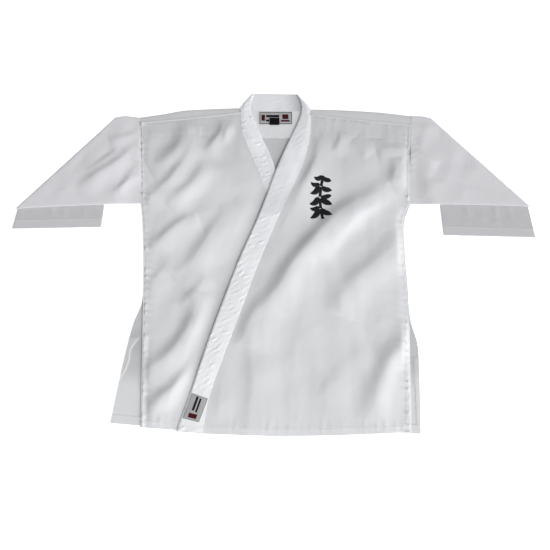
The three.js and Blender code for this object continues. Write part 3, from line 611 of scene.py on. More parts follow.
def wall_quads(rows, columns, cells, ring):
    """Quads of a closed wall; the second face of each station is numbered after all the first ones."""
    index = np.arange(rows * columns).reshape(rows, columns)
    other = rows * columns
    here = index if ring else index[:, :-1]
    beside = np.roll(index, -1, axis=1) if ring else index[:, 1:]
    corners = np.stack([here[:-1], beside[:-1], beside[1:], here[1:]], axis=-1)
    if cells is None:
        cells = np.ones(corners.shape[:2], dtype=bool)
    padded = np.pad(cells, 1)
    if ring:
        padded[:, 0] = padded[:, -2]
        padded[:, -1] = padded[:, 1]
    neighbours = [padded[:-2, 1:-1], padded[1:-1, 2:], padded[2:, 1:-1], padded[1:-1, :-2]]
    kept = corners[cells]
    quads = [kept, kept[:, ::-1] + other]
    for number, neighbour in enumerate(neighbours):
        rim = corners[cells & ~neighbour]
        start = rim[:, number]
        end = rim[:, (number + 1) % 4]
        quads.append(np.stack([start, start + other, end + other, end], axis=-1))
    return np.concatenate(quads)


def signed_volume(points, quads):
    a, b, c, d = (points[quads[:, k]] for k in range(4))
    first = np.einsum("ij,ij->i", a, np.cross(b, c))
    second = np.einsum("ij,ij->i", a, np.cross(c, d))
    return float((first + second).sum() / 6)


def add_object(name, data):
    """A new object of the scene."""
    made = bpy.data.objects.new(name, data)
    bpy.context.scene.collection.objects.link(made)
    return made


def add_uv(mesh, uv):
    """Writes a vertex's place in the cloth, in metres, as the piece's UV map."""
    layer = mesh.uv_layers.new(name="cloth")
    loops = np.empty(len(mesh.loops), dtype=np.int32)
    mesh.loops.foreach_get("vertex_index", loops)
    layer.data.foreach_set("uv", uv[loops].astype(np.float32).ravel())


def add_value(mesh, name, values):
    attribute = mesh.attributes.new(name, "FLOAT", "POINT")
    attribute.data.foreach_set("value", values.astype(np.float32))


def mesh_piece(name, points, quads, uv, material, values=None, sharp_degrees=50):
    """A finished piece from points in millimetres."""
    used, numbers = np.unique(quads, return_inverse=True)
    quads = numbers.reshape(quads.shape)
    points = points[used] * MM
    if signed_volume(points, quads) < 0:
        quads = quads[:, ::-1]
    mesh = bpy.data.meshes.new(name)
    mesh.from_pydata(points.tolist(), [], quads.tolist())
    mesh.polygons.foreach_set("use_smooth", np.ones(len(mesh.polygons), dtype=bool))
    add_uv(mesh, uv[used])
    for key, value in (values or {}).items():
        add_value(mesh, key, value[used])
    mesh.set_sharp_from_angle(angle=math.radians(sharp_degrees))
    mesh.materials.append(material)
    mesh.validate()
    return add_object(name, mesh)


def wall_piece(name, top, bottom, uv, material, cells=None, ring=False, values=None, sharp_degrees=50):
    """A closed wall between two grids of points."""
    rows, columns = top.shape[:2]
    quads = wall_quads(rows, columns, cells, ring)
    points = np.concatenate([top.reshape(-1, 3), bottom.reshape(-1, 3)])
    flat_uv = np.tile(uv.reshape(-1, 2), (2, 1))
    doubled = {key: np.tile(value.ravel(), 2) for key, value in (values or {}).items()}
    return mesh_piece(name, points, quads, flat_uv, material, doubled, sharp_degrees)


def points_of(x, y, z):
    return np.stack(np.broadcast_arrays(x, y, z), axis=-1).astype(float)


def settle(piece, slot, nodes=(), **sheet):
    """Hides the solids that the finished piece stands for and attaches it to the body."""
    if nodes:
        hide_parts(*nodes)
    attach(piece, BODY)


# Materials


class Field:
    """A number that varies over a surface; its operators add Math nodes."""

    def __init__(self, finish, socket):
        self.finish = finish
        self.socket = socket

    def math(self, operation, *others, clamp=False):
        settings = {"operation": operation, "use_clamp": clamp}
        inputs = {number: value for number, value in enumerate((self, *others))}
        return self.finish.field("ShaderNodeMath", settings, inputs)

    def reflected(self, operation, other):
        return self.finish.field("ShaderNodeMath", {"operation": operation}, {0: other, 1: self})

    def __add__(self, other):
        return self.math("ADD", other)

    __radd__ = __add__

    def __mul__(self, other):
        return self.math("MULTIPLY", other)

    __rmul__ = __mul__

    def __sub__(self, other):
        return self.math("SUBTRACT", other)

    def __rsub__(self, other):
        return self.reflected("SUBTRACT", other)

    def __truediv__(self, other):
        return self.math("DIVIDE", other)

    def __gt__(self, other):
        return self.math("GREATER_THAN", other)

    def __lt__(self, other):
        return self.math("LESS_THAN", other)

    def __mod__(self, other):
        return self.math("FLOORED_MODULO", other)

    def __abs__(self):
        return self.math("ABSOLUTE")

    def sine(self):
        return self.math("SINE")

    def whole(self):
        return self.math("FLOOR")

    def clamped(self):
        return self.math("ADD", 0.0, clamp=True)


class Finish:
    """A material while its nodes are being put together."""

    def __init__(self, name):
        self.material = bpy.data.materials.new(name)
        self.material.use_nodes = True
        self.tree = self.material.node_tree
        self.tree.nodes.clear()
        self.shader = self.tree.nodes.new("ShaderNodeBsdfPrincipled")
        output = self.tree.nodes.new("ShaderNodeOutputMaterial")
        self.tree.links.new(self.shader.outputs["BSDF"], output.inputs["Surface"])

    def node(self, kind, settings=None, inputs=None):
        node = self.tree.nodes.new(kind)
        for key, value in (settings or {}).items():
            setattr(node, key, value)
        for key, value in (inputs or {}).items():
            self.put(node.inputs[key], value)
        return node

    def put(self, socket, value):
        if isinstance(value, Field):
            value = value.socket
        if isinstance(value, bpy.types.NodeSocket):
            self.tree.links.new(value, socket)
        elif socket.type == "RGBA":
            socket.default_value = (*value[:3], 1.0)
        else:
            socket.default_value = value

    def field(self, kind, settings=None, inputs=None, output=0):
        return Field(self, self.node(kind, settings, inputs).outputs[output])

    def cloth_place(self):
        """The two cloth directions, in metres."""
        place = self.node("ShaderNodeUVMap", {"uv_map": "cloth"})
        split = self.node("ShaderNodeSeparateXYZ", None, {0: place.outputs[0]})
        return Field(self, split.outputs[0]), Field(self, split.outputs[1])

    def vector(self, x, y, z=0.0):
        return self.node("ShaderNodeCombineXYZ", None, {0: x, 1: y, 2: z}).outputs[0]

    def noise(self, vector, scale, detail=2.0, roughness=0.5):
        inputs = {"Vector": vector, "Scale": scale, "Detail": detail, "Roughness": roughness}
        return self.field("ShaderNodeTexNoise", None, inputs)

    def value(self, name):
        return Field(self, self.node("ShaderNodeAttribute", {"attribute_name": name}).outputs["Fac"])

    def mix(self, share, first, second, blend="MIX"):
        settings = {"data_type": "RGBA", "blend_type": blend}
        return self.node("ShaderNodeMix", settings, {0: share, 6: first, 7: second}).outputs[2]

    def bump(self, height, distance, strength=1.0, normal=None):
        inputs = {"Height": height, "Distance": distance, "Strength": strength}
        if normal is not None:
            inputs["Normal"] = normal
        return self.node("ShaderNodeBump", None, inputs).outputs[0]

    def surface(self, **values):
        """Sets the shader's sockets; each name's underscores stand for spaces."""
        for key, value in values.items():
            self.put(self.shader.inputs[key.replace("_", " ")], value)
        return self.material


def plain_weave(finish, across, along, pitch):
    """Height of a plain weave: warp and weft threads that pass over each other in turn."""
    warp = across / pitch
    weft = along / pitch
    warp_crown = abs((warp * math.pi).sine())
    weft_crown = abs((weft * math.pi).sine())
    parity = (warp.whole() + weft.whole()) % 2.0
    over = warp_crown * (0.55 + 0.45 * weft_crown)
    under = weft_crown * (0.55 + 0.45 * warp_crown)
    return over * parity + under * (1 - parity)


def scaled(colour, share):
    return tuple(min(channel * share, 1.0) for channel in colour)


def cotton(name, colour, pitch, weave_depth, grain=1.0):
    """Bleached cotton: weave, slubs along both threads, soft blotches, and a tone that whitens the cloth
    where it lies double, brightens it further above one and darkens it with painted shade below zero.
    """
    finish = Finish(name)
    across, along = finish.cloth_place()
    weave = plain_weave(finish, across, along, pitch)
    warp_slubs = finish.noise(finish.vector(across * 620, along * 9), 1.0, 2.0)
    weft_slubs = finish.noise(finish.vector(across * 11, along * 540), 1.0, 2.0)
    blotches = finish.noise(finish.vector(across, along), 16.0, 3.0, 0.6)
    layers_and_shading = finish.value("layers_and_shading")
    tone = (0.2 * warp_slubs + 0.12 * weft_slubs + 0.3 * blotches - 0.31) * (0.6 * grain) + 0.5
    tone = (tone + 0.30 * layers_and_shading).clamped()
    shade = finish.mix(tone, scaled(colour, 0.925), scaled(colour, 1.075))
    # Below zero the tone darkens the colour with painted shade
    shaded = finish.mix((0 - layers_and_shading).clamped(), shade, scaled(colour, 0.66))
    # Above one it brightens the colour further
    shaded = finish.mix((layers_and_shading - 1).clamped(), shaded, scaled(colour, 1.17))
    base = finish.mix((weave * 0.08).clamped(), shaded, scaled(colour, 0.9))
    roughness = 0.96 - 0.1 * warp_slubs
    lint = finish.noise(finish.vector(across, along), 420.0, 2.0)
    height = weave + 0.5 * warp_slubs + 0.4 * weft_slubs + 0.25 * lint
    normal = finish.bump(height, weave_depth, 0.55)
    return finish.surface(
        Base_Color=base, Roughness=roughness, Normal=normal,
        Sheen_Weight=0.12, Sheen_Roughness=0.45, Specular_IOR_Level=0.25)


def thread_finish(name, colour, roughness, sheen):
    """Twisted thread: fine slanting plies and a little gloss."""
    finish = Finish(name)
    place = finish.node("ShaderNodeTexCoord").outputs["Object"]
    wave = finish.field(
        "ShaderNodeTexWave", {"wave_type": "BANDS", "bands_direction": "DIAGONAL"},
        {"Vector": place, "Scale": 900.0, "Distortion": 1.5})
    fuzz = finish.noise(place, 700.0, 2.0)
    base = finish.mix(wave * 0.5 + fuzz * 0.3, scaled(colour, 0.82), scaled(colour, 1.08))
    return finish.surface(
        Base_Color=base, Roughness=roughness + 0.12 * fuzz, Normal=finish.bump(wave + fuzz, 0.00012, 0.5),
        Sheen_Weight=sheen, Sheen_Roughness=0.4, Specular_IOR_Level=0.4)


def inside(value, low, high):
    """One where value lies between low and high."""
    return (value > low) * (value < high)


def satin_weave(finish, across, along):
    """Fine slanting ribs of a woven label, and their effect on height."""
    ribs = abs(((across * 2600 + along * 900) * math.pi).sine())
    picks = abs((along * 3400 * math.pi).sine())
    return ribs * 0.7 + picks * 0.3


def frame_line(across, along, width, length, offset, thickness):
    """A thin line that runs round a label, offset from its edge."""
    outer = inside(across, offset, width - offset) * inside(along, offset, length - offset)
    far = offset + thickness
    return outer - inside(across, far, width - far) * inside(along, far, length - far)


def marks(across, along, rows):
    """One inside any of the marks, given as left, right, low and high in millimetres."""
    blocks = [
        inside(across, left * MM, right * MM) * inside(along, low * MM, high * MM)
        for left, right, low, high in rows]
    return sum(blocks[1:], blocks[0])


def label_finish(name, colours, cut, dark_bars, red_blocks, frame_share):
    """A woven label in real size: ground, dark frame, dark bars and dark red blocks."""
    finish = Finish(name)
    across, along = finish.cloth_place()
    border = frame_line(across, along, *cut["flat"], 0.0012, 0.0011) * frame_share
    dark = border + marks(across, along, dark_bars)
    red = marks(across, along, red_blocks)
    weave = satin_weave(finish, across, along)
    grain = finish.noise(finish.vector(across, along), 300.0, 2.0)
    ground = finish.mix(weave * 0.6 + grain * 0.4, scaled(colours.label, 0.85), scaled(colours.label, 1.2))
    inked = finish.mix(dark.clamped(), ground, colours.dark)
    base = finish.mix(red.clamped(), inked, colours.accent)
    normal = finish.bump(weave + dark * 0.5 + red * 0.5, 0.0002, 0.5)
    return finish.surface(
        Base_Color=base, Roughness=0.7 - 0.15 * weave, Normal=normal, Specular_IOR_Level=0.2)


def tape_finish(name, colour):
    """Black woven tape with a fine cross rib."""
    finish = Finish(name)
    across, along = finish.cloth_place()
    ribs = abs((along * 1500 * math.pi).sine())
    threads = abs((across * 2400 * math.pi).sine())
    lint = finish.noise(finish.vector(across, along), 500.0, 2.0)
    base = finish.mix(ribs * 0.4 + lint * 0.5, scaled(colour, 0.6), scaled(colour, 1.4))
    return finish.surface(
        Base_Color=base, Roughness=0.8 + 0.1 * lint,
        Normal=finish.bump(ribs + 0.5 * threads, 0.0002, 0.6), Specular_IOR_Level=0.1)


def floor_finish(colour):
    """Pale matt studio paper, lit a little from below as on a light table."""
    finish = Finish("studio_floor")
    place = finish.node("ShaderNodeTexCoord").outputs["Object"]
    grain = finish.noise(place, 60.0, 3.0)
    base = finish.mix(grain, scaled(colour, 0.995), scaled(colour, 1.005))
    return finish.surface(
        Base_Color=base, Roughness=0.9, Emission_Color=(1.0, 1.0, 1.0), Emission_Strength=FLOOR_GLOW,
        Specular_IOR_Level=0.1)


def material_for(kind):
    """The material of that kind, made once."""
    known = bpy.data.materials.get(kind)
    if known:
        return known
    sizes = bpy.context.scene.gi_sizes
    colours = bpy.context.scene.gi_colours
    makers = {
        "cotton_canvas": lambda: cotton(kind, colours.cloth, sizes.weave_pitch, 0.00035),
        "sleeve_canvas": lambda: cotton(kind, colours.sleeve, sizes.weave_pitch, 0.00035, 0.8),
        "band_cotton": lambda: cotton(kind, colours.band, sizes.weave_pitch * 0.9, 0.0003, 0.8),
        "sewing_thread": lambda: thread_finish(kind, colours.thread, 0.5, 0.15),
        "black_thread": lambda: thread_finish(kind, colours.dark, 0.42, 0.0),
        "black_tape": lambda: tape_finish(kind, colours.dark),
        "neck_label_satin": lambda: label_finish(
            kind, colours, NECK_LABEL_CUT, NECK_LABEL_DARK_BARS, NECK_LABEL_RED_BLOCKS, 1.0),
        "hem_label_satin": lambda: label_finish(
            kind, colours, HEM_LABEL_CUT, HEM_LABEL_DARK_BARS, HEM_LABEL_RED_BLOCKS, 0.25),
    }
    return makers[kind]()


# Back, with its shoulders turned over to the front, and the yoke lining inside it

VENT_DETAIL = 62
FLAP_INNER = 81.5
SEWING_RISE = 0.15


def back_plan(top_x, share):
    """Place on the flat back, from the hem at share 0 to the shoulder fold at share 1."""
    right_x = SLEEVES["right"].armhole[0][0]
    left_x = SLEEVES["left"].armhole[0][0]
    across = (top_x - right_x) / (left_x - right_x)
    right_top = shoulder_fold_y(right_x) - ROLL_SETBACK
    left_top = shoulder_fold_y(left_x) - ROLL_SETBACK
    (right_hem_y, right_hem_x), (left_hem_y, left_hem_x) = BACK_EDGE_RIGHT[0], BACK_EDGE_LEFT[0]
    right_y = lerp(right_hem_y, right_top, share)
    left_y = lerp(left_hem_y, left_top, share)
    hem_bend = back_hem_y(lerp(right_hem_x, left_hem_x, across)) - lerp(right_hem_y, left_hem_y, across)
    top_bend = shoulder_fold_y(top_x) - ROLL_SETBACK - lerp(right_top, left_top, across)
    y = lerp(right_y, left_y, across) + share * top_bend + (1 - share) * hem_bend
    return lerp(back_right_x(right_y), back_left_x(left_y), across), y


def back_columns():
    """Places across the back, closer together beside the right vent."""
    reach = SLEEVES["left"].armhole[0][0]
    vent = np.linspace(-reach, -reach + VENT_DETAIL, 31)
    shoulder = np.linspace(-reach + VENT_DETAIL, -FLAP_INNER, 31)
    neck = np.linspace(-FLAP_INNER, FLAP_INNER, 35)
    right = np.concatenate([vent, shoulder[1:]])
    return np.concatenate([right, neck[1:-1], -right[::-1]])


def double_back(x, y):
    """One where the back lies double, beside the vents and along the hem between them."""
    right = smoothstep(right_facing_x(y) - x, 0, 2) * (1 - smoothstep(y, RIGHT_VENT_TOP - 3, RIGHT_VENT_TOP))
    left = smoothstep(x - LEFT_FACING_X, 0, 2) * (1 - smoothstep(y, LEFT_FACING_TOP - 6, LEFT_FACING_TOP))
    hem = 1 - smoothstep(y - back_hem_y(x), 17, 19)
    return np.maximum(np.maximum(right, left), hem)


def back_relief(x, y):
    """Thickness that the hems and facings add on top of the back, and the puckers of the vents."""
    ripples = 0.7 * puckers(back_left_x(y) - x, y + 0.3 * x, 53, 13, 14) * (1 - smoothstep(y, -150, -130))
    return 0.7 * double_back(x, y) + ripples


def left_band_shadow(x, y):
    """Falls off from one at the left band's free edge, inside the neck: the mask of the painted shadow beside
    the band.
    """
    return np.exp(-np.abs(LEFT.lapel_free_x(y) - x) / 11)


def back_tone(x, y):
    """Tone of the back: painted shade inside the neck and in the vents, with painted shade in the right
    vent's pocket, a painted shadow beside the fronts' edges and a painted highlight along the right facing's
    rim; lighter where it lies double.
    """
    up_vent = smoothstep(y, -272, -205)
    pocket_shade = POCKET_SHADE * bump_at(np.hypot(x + 286, y - RIGHT_VENT_TOP + 10), 22)
    front_edge_shadow = FRONT_EDGE_SHADOW * np.exp(-np.maximum(np.abs(x) - 282, 0) / 4)
    vent = lerp(LOW_VENT_TONE, VENT_SHADE, up_vent) + pocket_shade + front_edge_shadow
    neck = NECK_SHADE + UNDER_LAPEL_SHADOW * left_band_shadow(x, y)
    facing = lerp(LOW_FACING_TONE, FACING_SHADE, up_vent) + front_edge_shadow
    rim_highlight = bump_at(right_facing_x(y) - x - 1.2, 1.1) * (y < RIGHT_VENT_TOP) * (y > -250)
    bare = lerp(vent, neck, smoothstep(y, 0, 100))
    return lerp(bare, facing, double_back(x, y)) + FACING_RIM_HIGHLIGHT * rim_highlight


def shoulder_turn(top_x):
    """Rows of the turn over the shoulder: a tight lower quarter, then a long one down to the seam."""
    start = shoulder_fold_y(top_x) - ROLL_SETBACK
    seam_y = np.where(top_x < 0, RIGHT.shoulder_seam_y(top_x), LEFT.shoulder_seam_y(top_x)) + 0.2
    for angle in np.linspace(0, math.pi / 2, 5)[1:]:
        sine, cosine = math.sin(angle), math.cos(angle)
        z = WALL / 2 + ROLL_RADIUS * (1 - cosine)
        yield start + ROLL_RADIUS * sine, z, sine, -cosine
    depth = start + ROLL_RADIUS - seam_y
    for angle in np.linspace(0, math.pi / 2, 13)[1:]:
        sine, cosine = math.sin(angle), math.cos(angle)
        length = np.hypot(cosine / depth, sine / ROLL_RADIUS)
        z = WALL / 2 + ROLL_RADIUS * (1 + sine)
        yield seam_y + depth * cosine, z, cosine / depth / length, sine / ROLL_RADIUS / length


def within_armholes(x, y):
    """Keeps the shoulder turn between the armhole seams."""
    limit = np.abs(np.where(x < 0, RIGHT.edge_x(y), LEFT.edge_x(y)))
    return np.where(x < 0, -1, 1) * np.minimum(np.abs(x), limit)


def build_back():
    top_x = back_columns()
    shares = fine_shares(190, (0.0, 0.024))
    panel_x, panel_y = back_plan(top_x[None, :], shares[:, None])
    top = [points_of(panel_x, panel_y, WALL + back_relief(panel_x, panel_y))]
    bottom = [points_of(panel_x, panel_y, 0.0)]
    for y, z, normal_y, normal_z in shoulder_turn(top_x):
        x = within_armholes(top_x, y)
        middle = points_of(x, y, z)
        normal = points_of(0 * x, normal_y, normal_z) * WALL / 2
        bottom.append((middle + normal)[None])
        top.append((middle - normal)[None])
    top = np.concatenate(top)
    bottom = np.concatenate(bottom)
    cells = np.ones((top.shape[0] - 1, top.shape[1] - 1), dtype=bool)
    middle_x = (top_x[1:] + top_x[:-1]) / 2
    cells[len(shares) - 1:, np.abs(middle_x) < FLAP_INNER] = False
    run = run_along(top[:, 4])
    uv = np.stack(np.broadcast_arrays(top_x[None, :] * MM, run[:, None] * MM), axis=-1)
    # Painted shade on the turned-over shoulder strips; the flat back takes the tone of back_tone, with its
    # painted shade and highlight
    layers_and_shading = np.full(top.shape[:2], SHOULDER_SHADE)
    layers_and_shading[:len(shares)] = back_tone(panel_x, panel_y)
    piece = wall_piece(
        "back_cloth", top, bottom, uv, material_for("cotton_canvas"), cells, values={"layers_and_shading": layers_and_shading})
    settle(
        piece, "cotton_cloth", ["back_panel", "right_shoulder", "left_shoulder"], held="folded",
        **BACK_CUT)


def build_lining():
    x = np.linspace(-LINING_HALF_WIDTH, LINING_HALF_WIDTH, 117)[None, :]
    shares = fine_shares(16, (0.0, 0.06), 0.03, 5)[:, None]
    y = lerp(LINING_LOWER_EDGE, shoulder_fold_y(x) - LINING_SETBACK, shares)
    from_edge = y - LINING_LOWER_EDGE
    sewing = 0.3 * puckers(from_edge, x, 62, 18, 10) - 0.2 * bump_at(from_edge - LINING_ROW_INSET, 1)
    relief = 0.12 * undulation(x, y, 61, 34) + sewing
    inside_neck = smoothstep(NECK_HALF_WIDTH - np.abs(x), 0, 20)
    underside = WALL + SEAM_GAP + 0 * x
    top = points_of(x, y, underside + WALL + np.maximum(relief, -0.2) * inside_neck)
    bottom = points_of(x, y, underside)
    uv = top[..., :2] * MM
    # The lining is whitened, with a painted shadow beside the left band
    values = {"layers_and_shading": LINING_TONE + LINING_UNDER_LAPEL_SHADOW * left_band_shadow(x, y)}
    piece = wall_piece("yoke_lining_cloth", top, bottom, uv, material_for("cotton_canvas"), values=values)
    settle(piece, "cotton_cloth", ["yoke_lining"], held="laid", rests_on=["back_cloth"], **LINING_CUT)


# Fronts

SEAM_TUCK = 1.6
SHOULDER_OVERLAP = 1.4


def neck_share(side):
    return (side.neck_y - side.seam_range[0]) / (side.seam_range[1] - side.seam_range[0])


def lapel_seam_point(side, share):
    y = lerp(side.seam_range[0], side.seam_range[1], share)
    return side.lapel_seam_x(y), y


def lapel_free_point(side, share):
    y = lerp(side.free_range[0], side.free_range[1], share)
    return side.lapel_free_x(y), y


def front_plan(side, across, up):
    """Place on a front: across runs from the side edge to the band, up from the hem to the shoulder."""
    share = neck_share(side)
    tuck = SEAM_TUCK * side.sign
    seam_x, seam_y = lapel_seam_point(side, up * share)
    low_x, low_y = lapel_seam_point(side, 0.0)
    high_x, high_y = lapel_seam_point(side, share)
    edge_y = lerp(side.corner[1], side.seam_top_y, up)
    top_corner_x = side.edge_x(side.seam_top_y)
    hem_x = lerp(side.corner[0], low_x - tuck, across)
    top_x = lerp(top_corner_x, high_x - tuck, across)
    x = lerp(side.edge_x(edge_y), seam_x - tuck, across)
    hem_bend = side.hem_y(hem_x) - lerp(side.corner[1], low_y, across)
    top_bend = side.shoulder_seam_y(top_x) - lerp(side.seam_top_y, high_y, across)
    y = lerp(edge_y, seam_y, across) + (1 - up) * hem_bend + up * (top_bend + SHOULDER_OVERLAP)
    return x, y


def front_surface(side, x, y):
    """Top of a front's cloth."""
    return front_height(side, x, y) + WALL + seam_relief(side, x, y) + yoke_line_relief(side, x, y)


def front_tone(side, x, y):
    """Tone of a front: white where it lies double at the hem and the vent, with painted light on top of that
    at the right vent's edge, painted shade towards the shoulder, and on the right front a painted shadow
    beside the left band.
    """
    hem = 1 - smoothstep(y - side.hem_y(x), hem_width() - 1, hem_width() + 1)
    at_edge = 1 - smoothstep(inset_from_edge(side, x, y), 6, 15)
    vent = VENT_EDGE_DOUBLE_AND_LIGHT[side.name] * at_edge * in_vent(side, y)
    tone = np.maximum(hem, vent) + UPPER_FRONT_SHADE * smoothstep(y, 165, 330)
    return tone - band_shadow(x, y) if side is RIGHT else tone


def band_shadow(x, y):
    """Painted soft shadow on the right front where the left one lies over it."""
    wide = smoothstep(y, -240, -190) * (1 - smoothstep(y, -60, 40))
    beside = np.exp(-np.maximum(LEFT.lapel_free_x(y) - x, 0) / (9 + 9 * wide))
    return (0.6 + 0.35 * wide) * beside * smoothstep(y, -270, -180) * (1 - smoothstep(y, 180, 232))


def build_front(name, node, side, rests_on):
    across = fine_shares(112, (0.0, 0.02, 0.029), 0.008, 9)[None, :]
    up = fine_shares(188, (0.0, 0.022, 0.994), 0.004, 9)[:, None]
    x, y = front_plan(side, across, up)
    at_shoulder = 1 - smoothstep(side.shoulder_seam_y(x) - y, 0.5, 3.5)
    free_edge = (1 - smoothstep(inset_from_edge(side, x, y), 0, 3.2)) * in_vent(side, y, 6)
    top = points_of(x, y, front_surface(side, x, y) - 1.1 * free_edge)
    bottom = points_of(x, y, front_height(side, x, y) + 0.5 * at_shoulder - 0.3 * free_edge)
    uv = np.stack([x, y], axis=-1) * MM
    values = {"layers_and_shading": front_tone(side, x, y)}
    piece = wall_piece(name, top, bottom, uv, material_for("cotton_canvas"), values=values)
    settle(piece, "cotton_cloth", [node], held="laid", rests_on=rests_on, **FRONT_CUT)


# Collar band: one strip from the hem of the right front round the neck to the hem of the left

BAND_COLUMNS = 40
BAND_ROWS = 430
QUILT_ROWS = 6
JOINT_Y = 128
SEAM_THINNING = 0.4
FREE_EDGE_THINNING = 0.4
NECK_SINK = 2.3
EDGE_LIFT = 0.2
JOINT_SLOPE = 0.08
RIGHT_QUILTING_SHARE = 1.25
QUILTING_SEEDS = {"right": 71, "left": 83, "neck": 97}
NECK_STEPS = 64


def band_thickness(across):
    """Thickness of the band: thin at its seam at 0 and thinned again at its free edge at 1."""
    seam = 1 - SEAM_THINNING * (1 - smoothstep(across, 0, 0.35))
    free = 1 - FREE_EDGE_THINNING * (1 - smoothstep(1 - across, 0, 0.1))
    return BAND_CLOTH * np.minimum(seam, free) - 0.35 * band_round(across)


def band_round(across):
    """One at the band's free edge and less at its seam, falling to zero inside them."""
    free = (1 - smoothstep(1 - across, 0, 0.06)) ** 2
    seam = (1 - smoothstep(across, 0, 0.04)) ** 2
    return free + 0.35 * seam


def quilting(x, y, across, seed):
    """Puckers of a band that is sewn through in rows; across runs from 0 to 1."""
    depth = bpy.context.scene.gi_sizes.quilting_depth / MM
    strokes = np.maximum(undulation(x, y, seed, 10.5, -1.15, 0.75, 10), -0.4)
    patches = np.clip(0.5 + 0.6 * undulation(x, y, seed + 1, 26, 0.0, math.pi, 8), 0.1, 1.4)
    from_row = np.abs((across * QUILT_ROWS) % 1.0 - 0.5) * 2
    rows = 0.3 * smoothstep(from_row, 0.8, 1)
    return depth * (0.6 * strokes * patches * (1 - 0.55 * from_row ** 3) - rows)


def lapel_relief(side, x, y, across):
    """Quilting of a lapel; on the left it is calmer above the joint and under the hem label."""
    puckered = quilting(x, y, across, QUILTING_SEEDS[side.name])
    if side is RIGHT:
        return RIGHT_QUILTING_SHARE * puckered
    from_hem = y - side.hem_y(x)
    from_joint = y - JOINT_Y - JOINT_SLOPE * (x + 20)
    under_label = smoothstep(from_hem, 12, 19) * (1 - smoothstep(from_hem, 80, 92))
    calm = lerp(1, 0.5, smoothstep(y, JOINT_Y - 2, JOINT_Y + 2)) * (1 - 0.85 * under_label)
    return puckered * calm - 0.5 * bump_at(from_joint, 1.2) + 0.35 * (1 - smoothstep(from_joint, -1, 5))


def lapel_place(side, shares, across):
    """Plan of a lapel: shares run up its length, across from its seam to its free edge."""
    seam_x, seam_y = lapel_seam_point(side, shares)
    free_x, free_y = lapel_free_point(side, shares)
    return lerp(seam_x, free_x, across), lerp(seam_y, free_y, across)


def lapel_rows(side, shares):
    """Top and bottom points of a lapel from the hem to the neck."""
    across = np.linspace(0, 1, BAND_COLUMNS + 1)[None, :]
    x, y = lapel_place(side, shares[:, None], across)
    sink = NECK_SINK * across ** 2 * smoothstep(y, 238, 272)
    resting = 1.5 + 1.4 * smoothstep(y, 295, 311)
    underside = np.maximum(front_height(side, x, y) - sink, resting)
    from_hem = y - side.hem_y(x)
    hem = 0.4 * (1 - smoothstep(from_hem, 15, 16.5)) - 0.4 * bump_at(from_hem - 15, 1.0)
    top = underside + band_thickness(across) + lapel_relief(side, x, y, across) + hem
    lower = underside + EDGE_LIFT * band_round(across)
    return points_of(x, y, top), points_of(x, y, lower)


def outward_from(start, end, sign):
    """Unit direction square to a line of the plan, on the garment side that sign gives."""
    line = end - start
    outward = np.array([-line[1], line[0]]) / np.linalg.norm(line)
    return -outward if outward[0] * sign < 0 else outward


def neck_turn(side, angles):
    """Top and bottom points of the band where it rolls over at the side of the neck."""
    across = np.linspace(0, 1, BAND_COLUMNS + 1)
    seam = np.array(lapel_seam_point(side, 1.0), dtype=float)
    free = np.array(lapel_free_point(side, 1.0), dtype=float)
    outward = outward_from(seam, free, side.sign)
    tops, bottoms = [], []
    radius = ROLL_RADIUS - NECK_SINK / 2 * across ** 2
    for angle in angles:
        plan = lerp(seam[None], free[None], across[:, None]) + outward * radius[:, None] * math.sin(angle)
        z = BAND_WALL / 2 + radius * (1 + math.cos(angle))
        normal = np.array([outward[0] * math.sin(angle), outward[1] * math.sin(angle), math.cos(angle)])
        middle = points_of(plan[:, 0], plan[:, 1], z)
        tops.append(middle + normal * (band_thickness(across) - BAND_WALL / 2)[:, None])
        bottoms.append(middle - normal * (BAND_WALL / 2 - EDGE_LIFT * band_round(across))[:, None])
    return np.array(tops), np.array(bottoms)


def neck_rows():
    """Inner and outer points of the band behind the neck, from the right fold to the left one."""
    seed = QUILTING_SEEDS["neck"]
    across = np.linspace(0, 1, BAND_COLUMNS + 1)[None, :]
    share = np.linspace(0, 1, NECK_STEPS + 1)[1:-1, None]
    right_x, right_y = lapel_place(RIGHT, 1.0, across)
    left_x, left_y = lapel_place(LEFT, 1.0, across)
    x = lerp(right_x, left_x, share)
    y = lerp(right_y, left_y, share)
    swell = 0.2 * undulation(x, y, seed + 5, 40, 0.0, 0.8)
    ease = np.minimum(smoothstep(share, 0, 0.1), smoothstep(1 - share, 0, 0.1))
    over_lining = (1 - smoothstep(across, 0, 0.09)) * ease
    y = y - 2.2 * over_lining
    relief = (0.5 * quilting(x, y, across, seed) + swell) * ease - EDGE_LIFT * band_round(across)
    inner = BAND_WALL + relief + 0.25 * over_lining
    outer = lerp(BAND_WALL - band_thickness(across), 2.85, over_lining)
    return points_of(x, y, inner), points_of(x, y, outer)


def lapel_tone(points):
    """Tone of a lapel: whitest below its joint, a little greyer just above it."""
    y = points[..., 1]
    above = lerp(*LAPEL_ABOVE_JOINT, smoothstep(y, 150, 290))
    below = lerp(*LAPEL_BELOW_JOINT, smoothstep(y, -250, 120))
    return lerp(below, above, smoothstep(y, JOINT_Y - 2, JOINT_Y + 2))


def neck_band_shade(points):
    """Painted shade on the band behind the neck, which turns greyer towards both shoulders."""
    left_end = smoothstep(points[..., 0], 12, 66)
    right_end = smoothstep(-points[..., 0], 40, 70)
    return NECK_BAND_LEFT_SHADE * left_end + NECK_BAND_RIGHT_SHADE * right_end


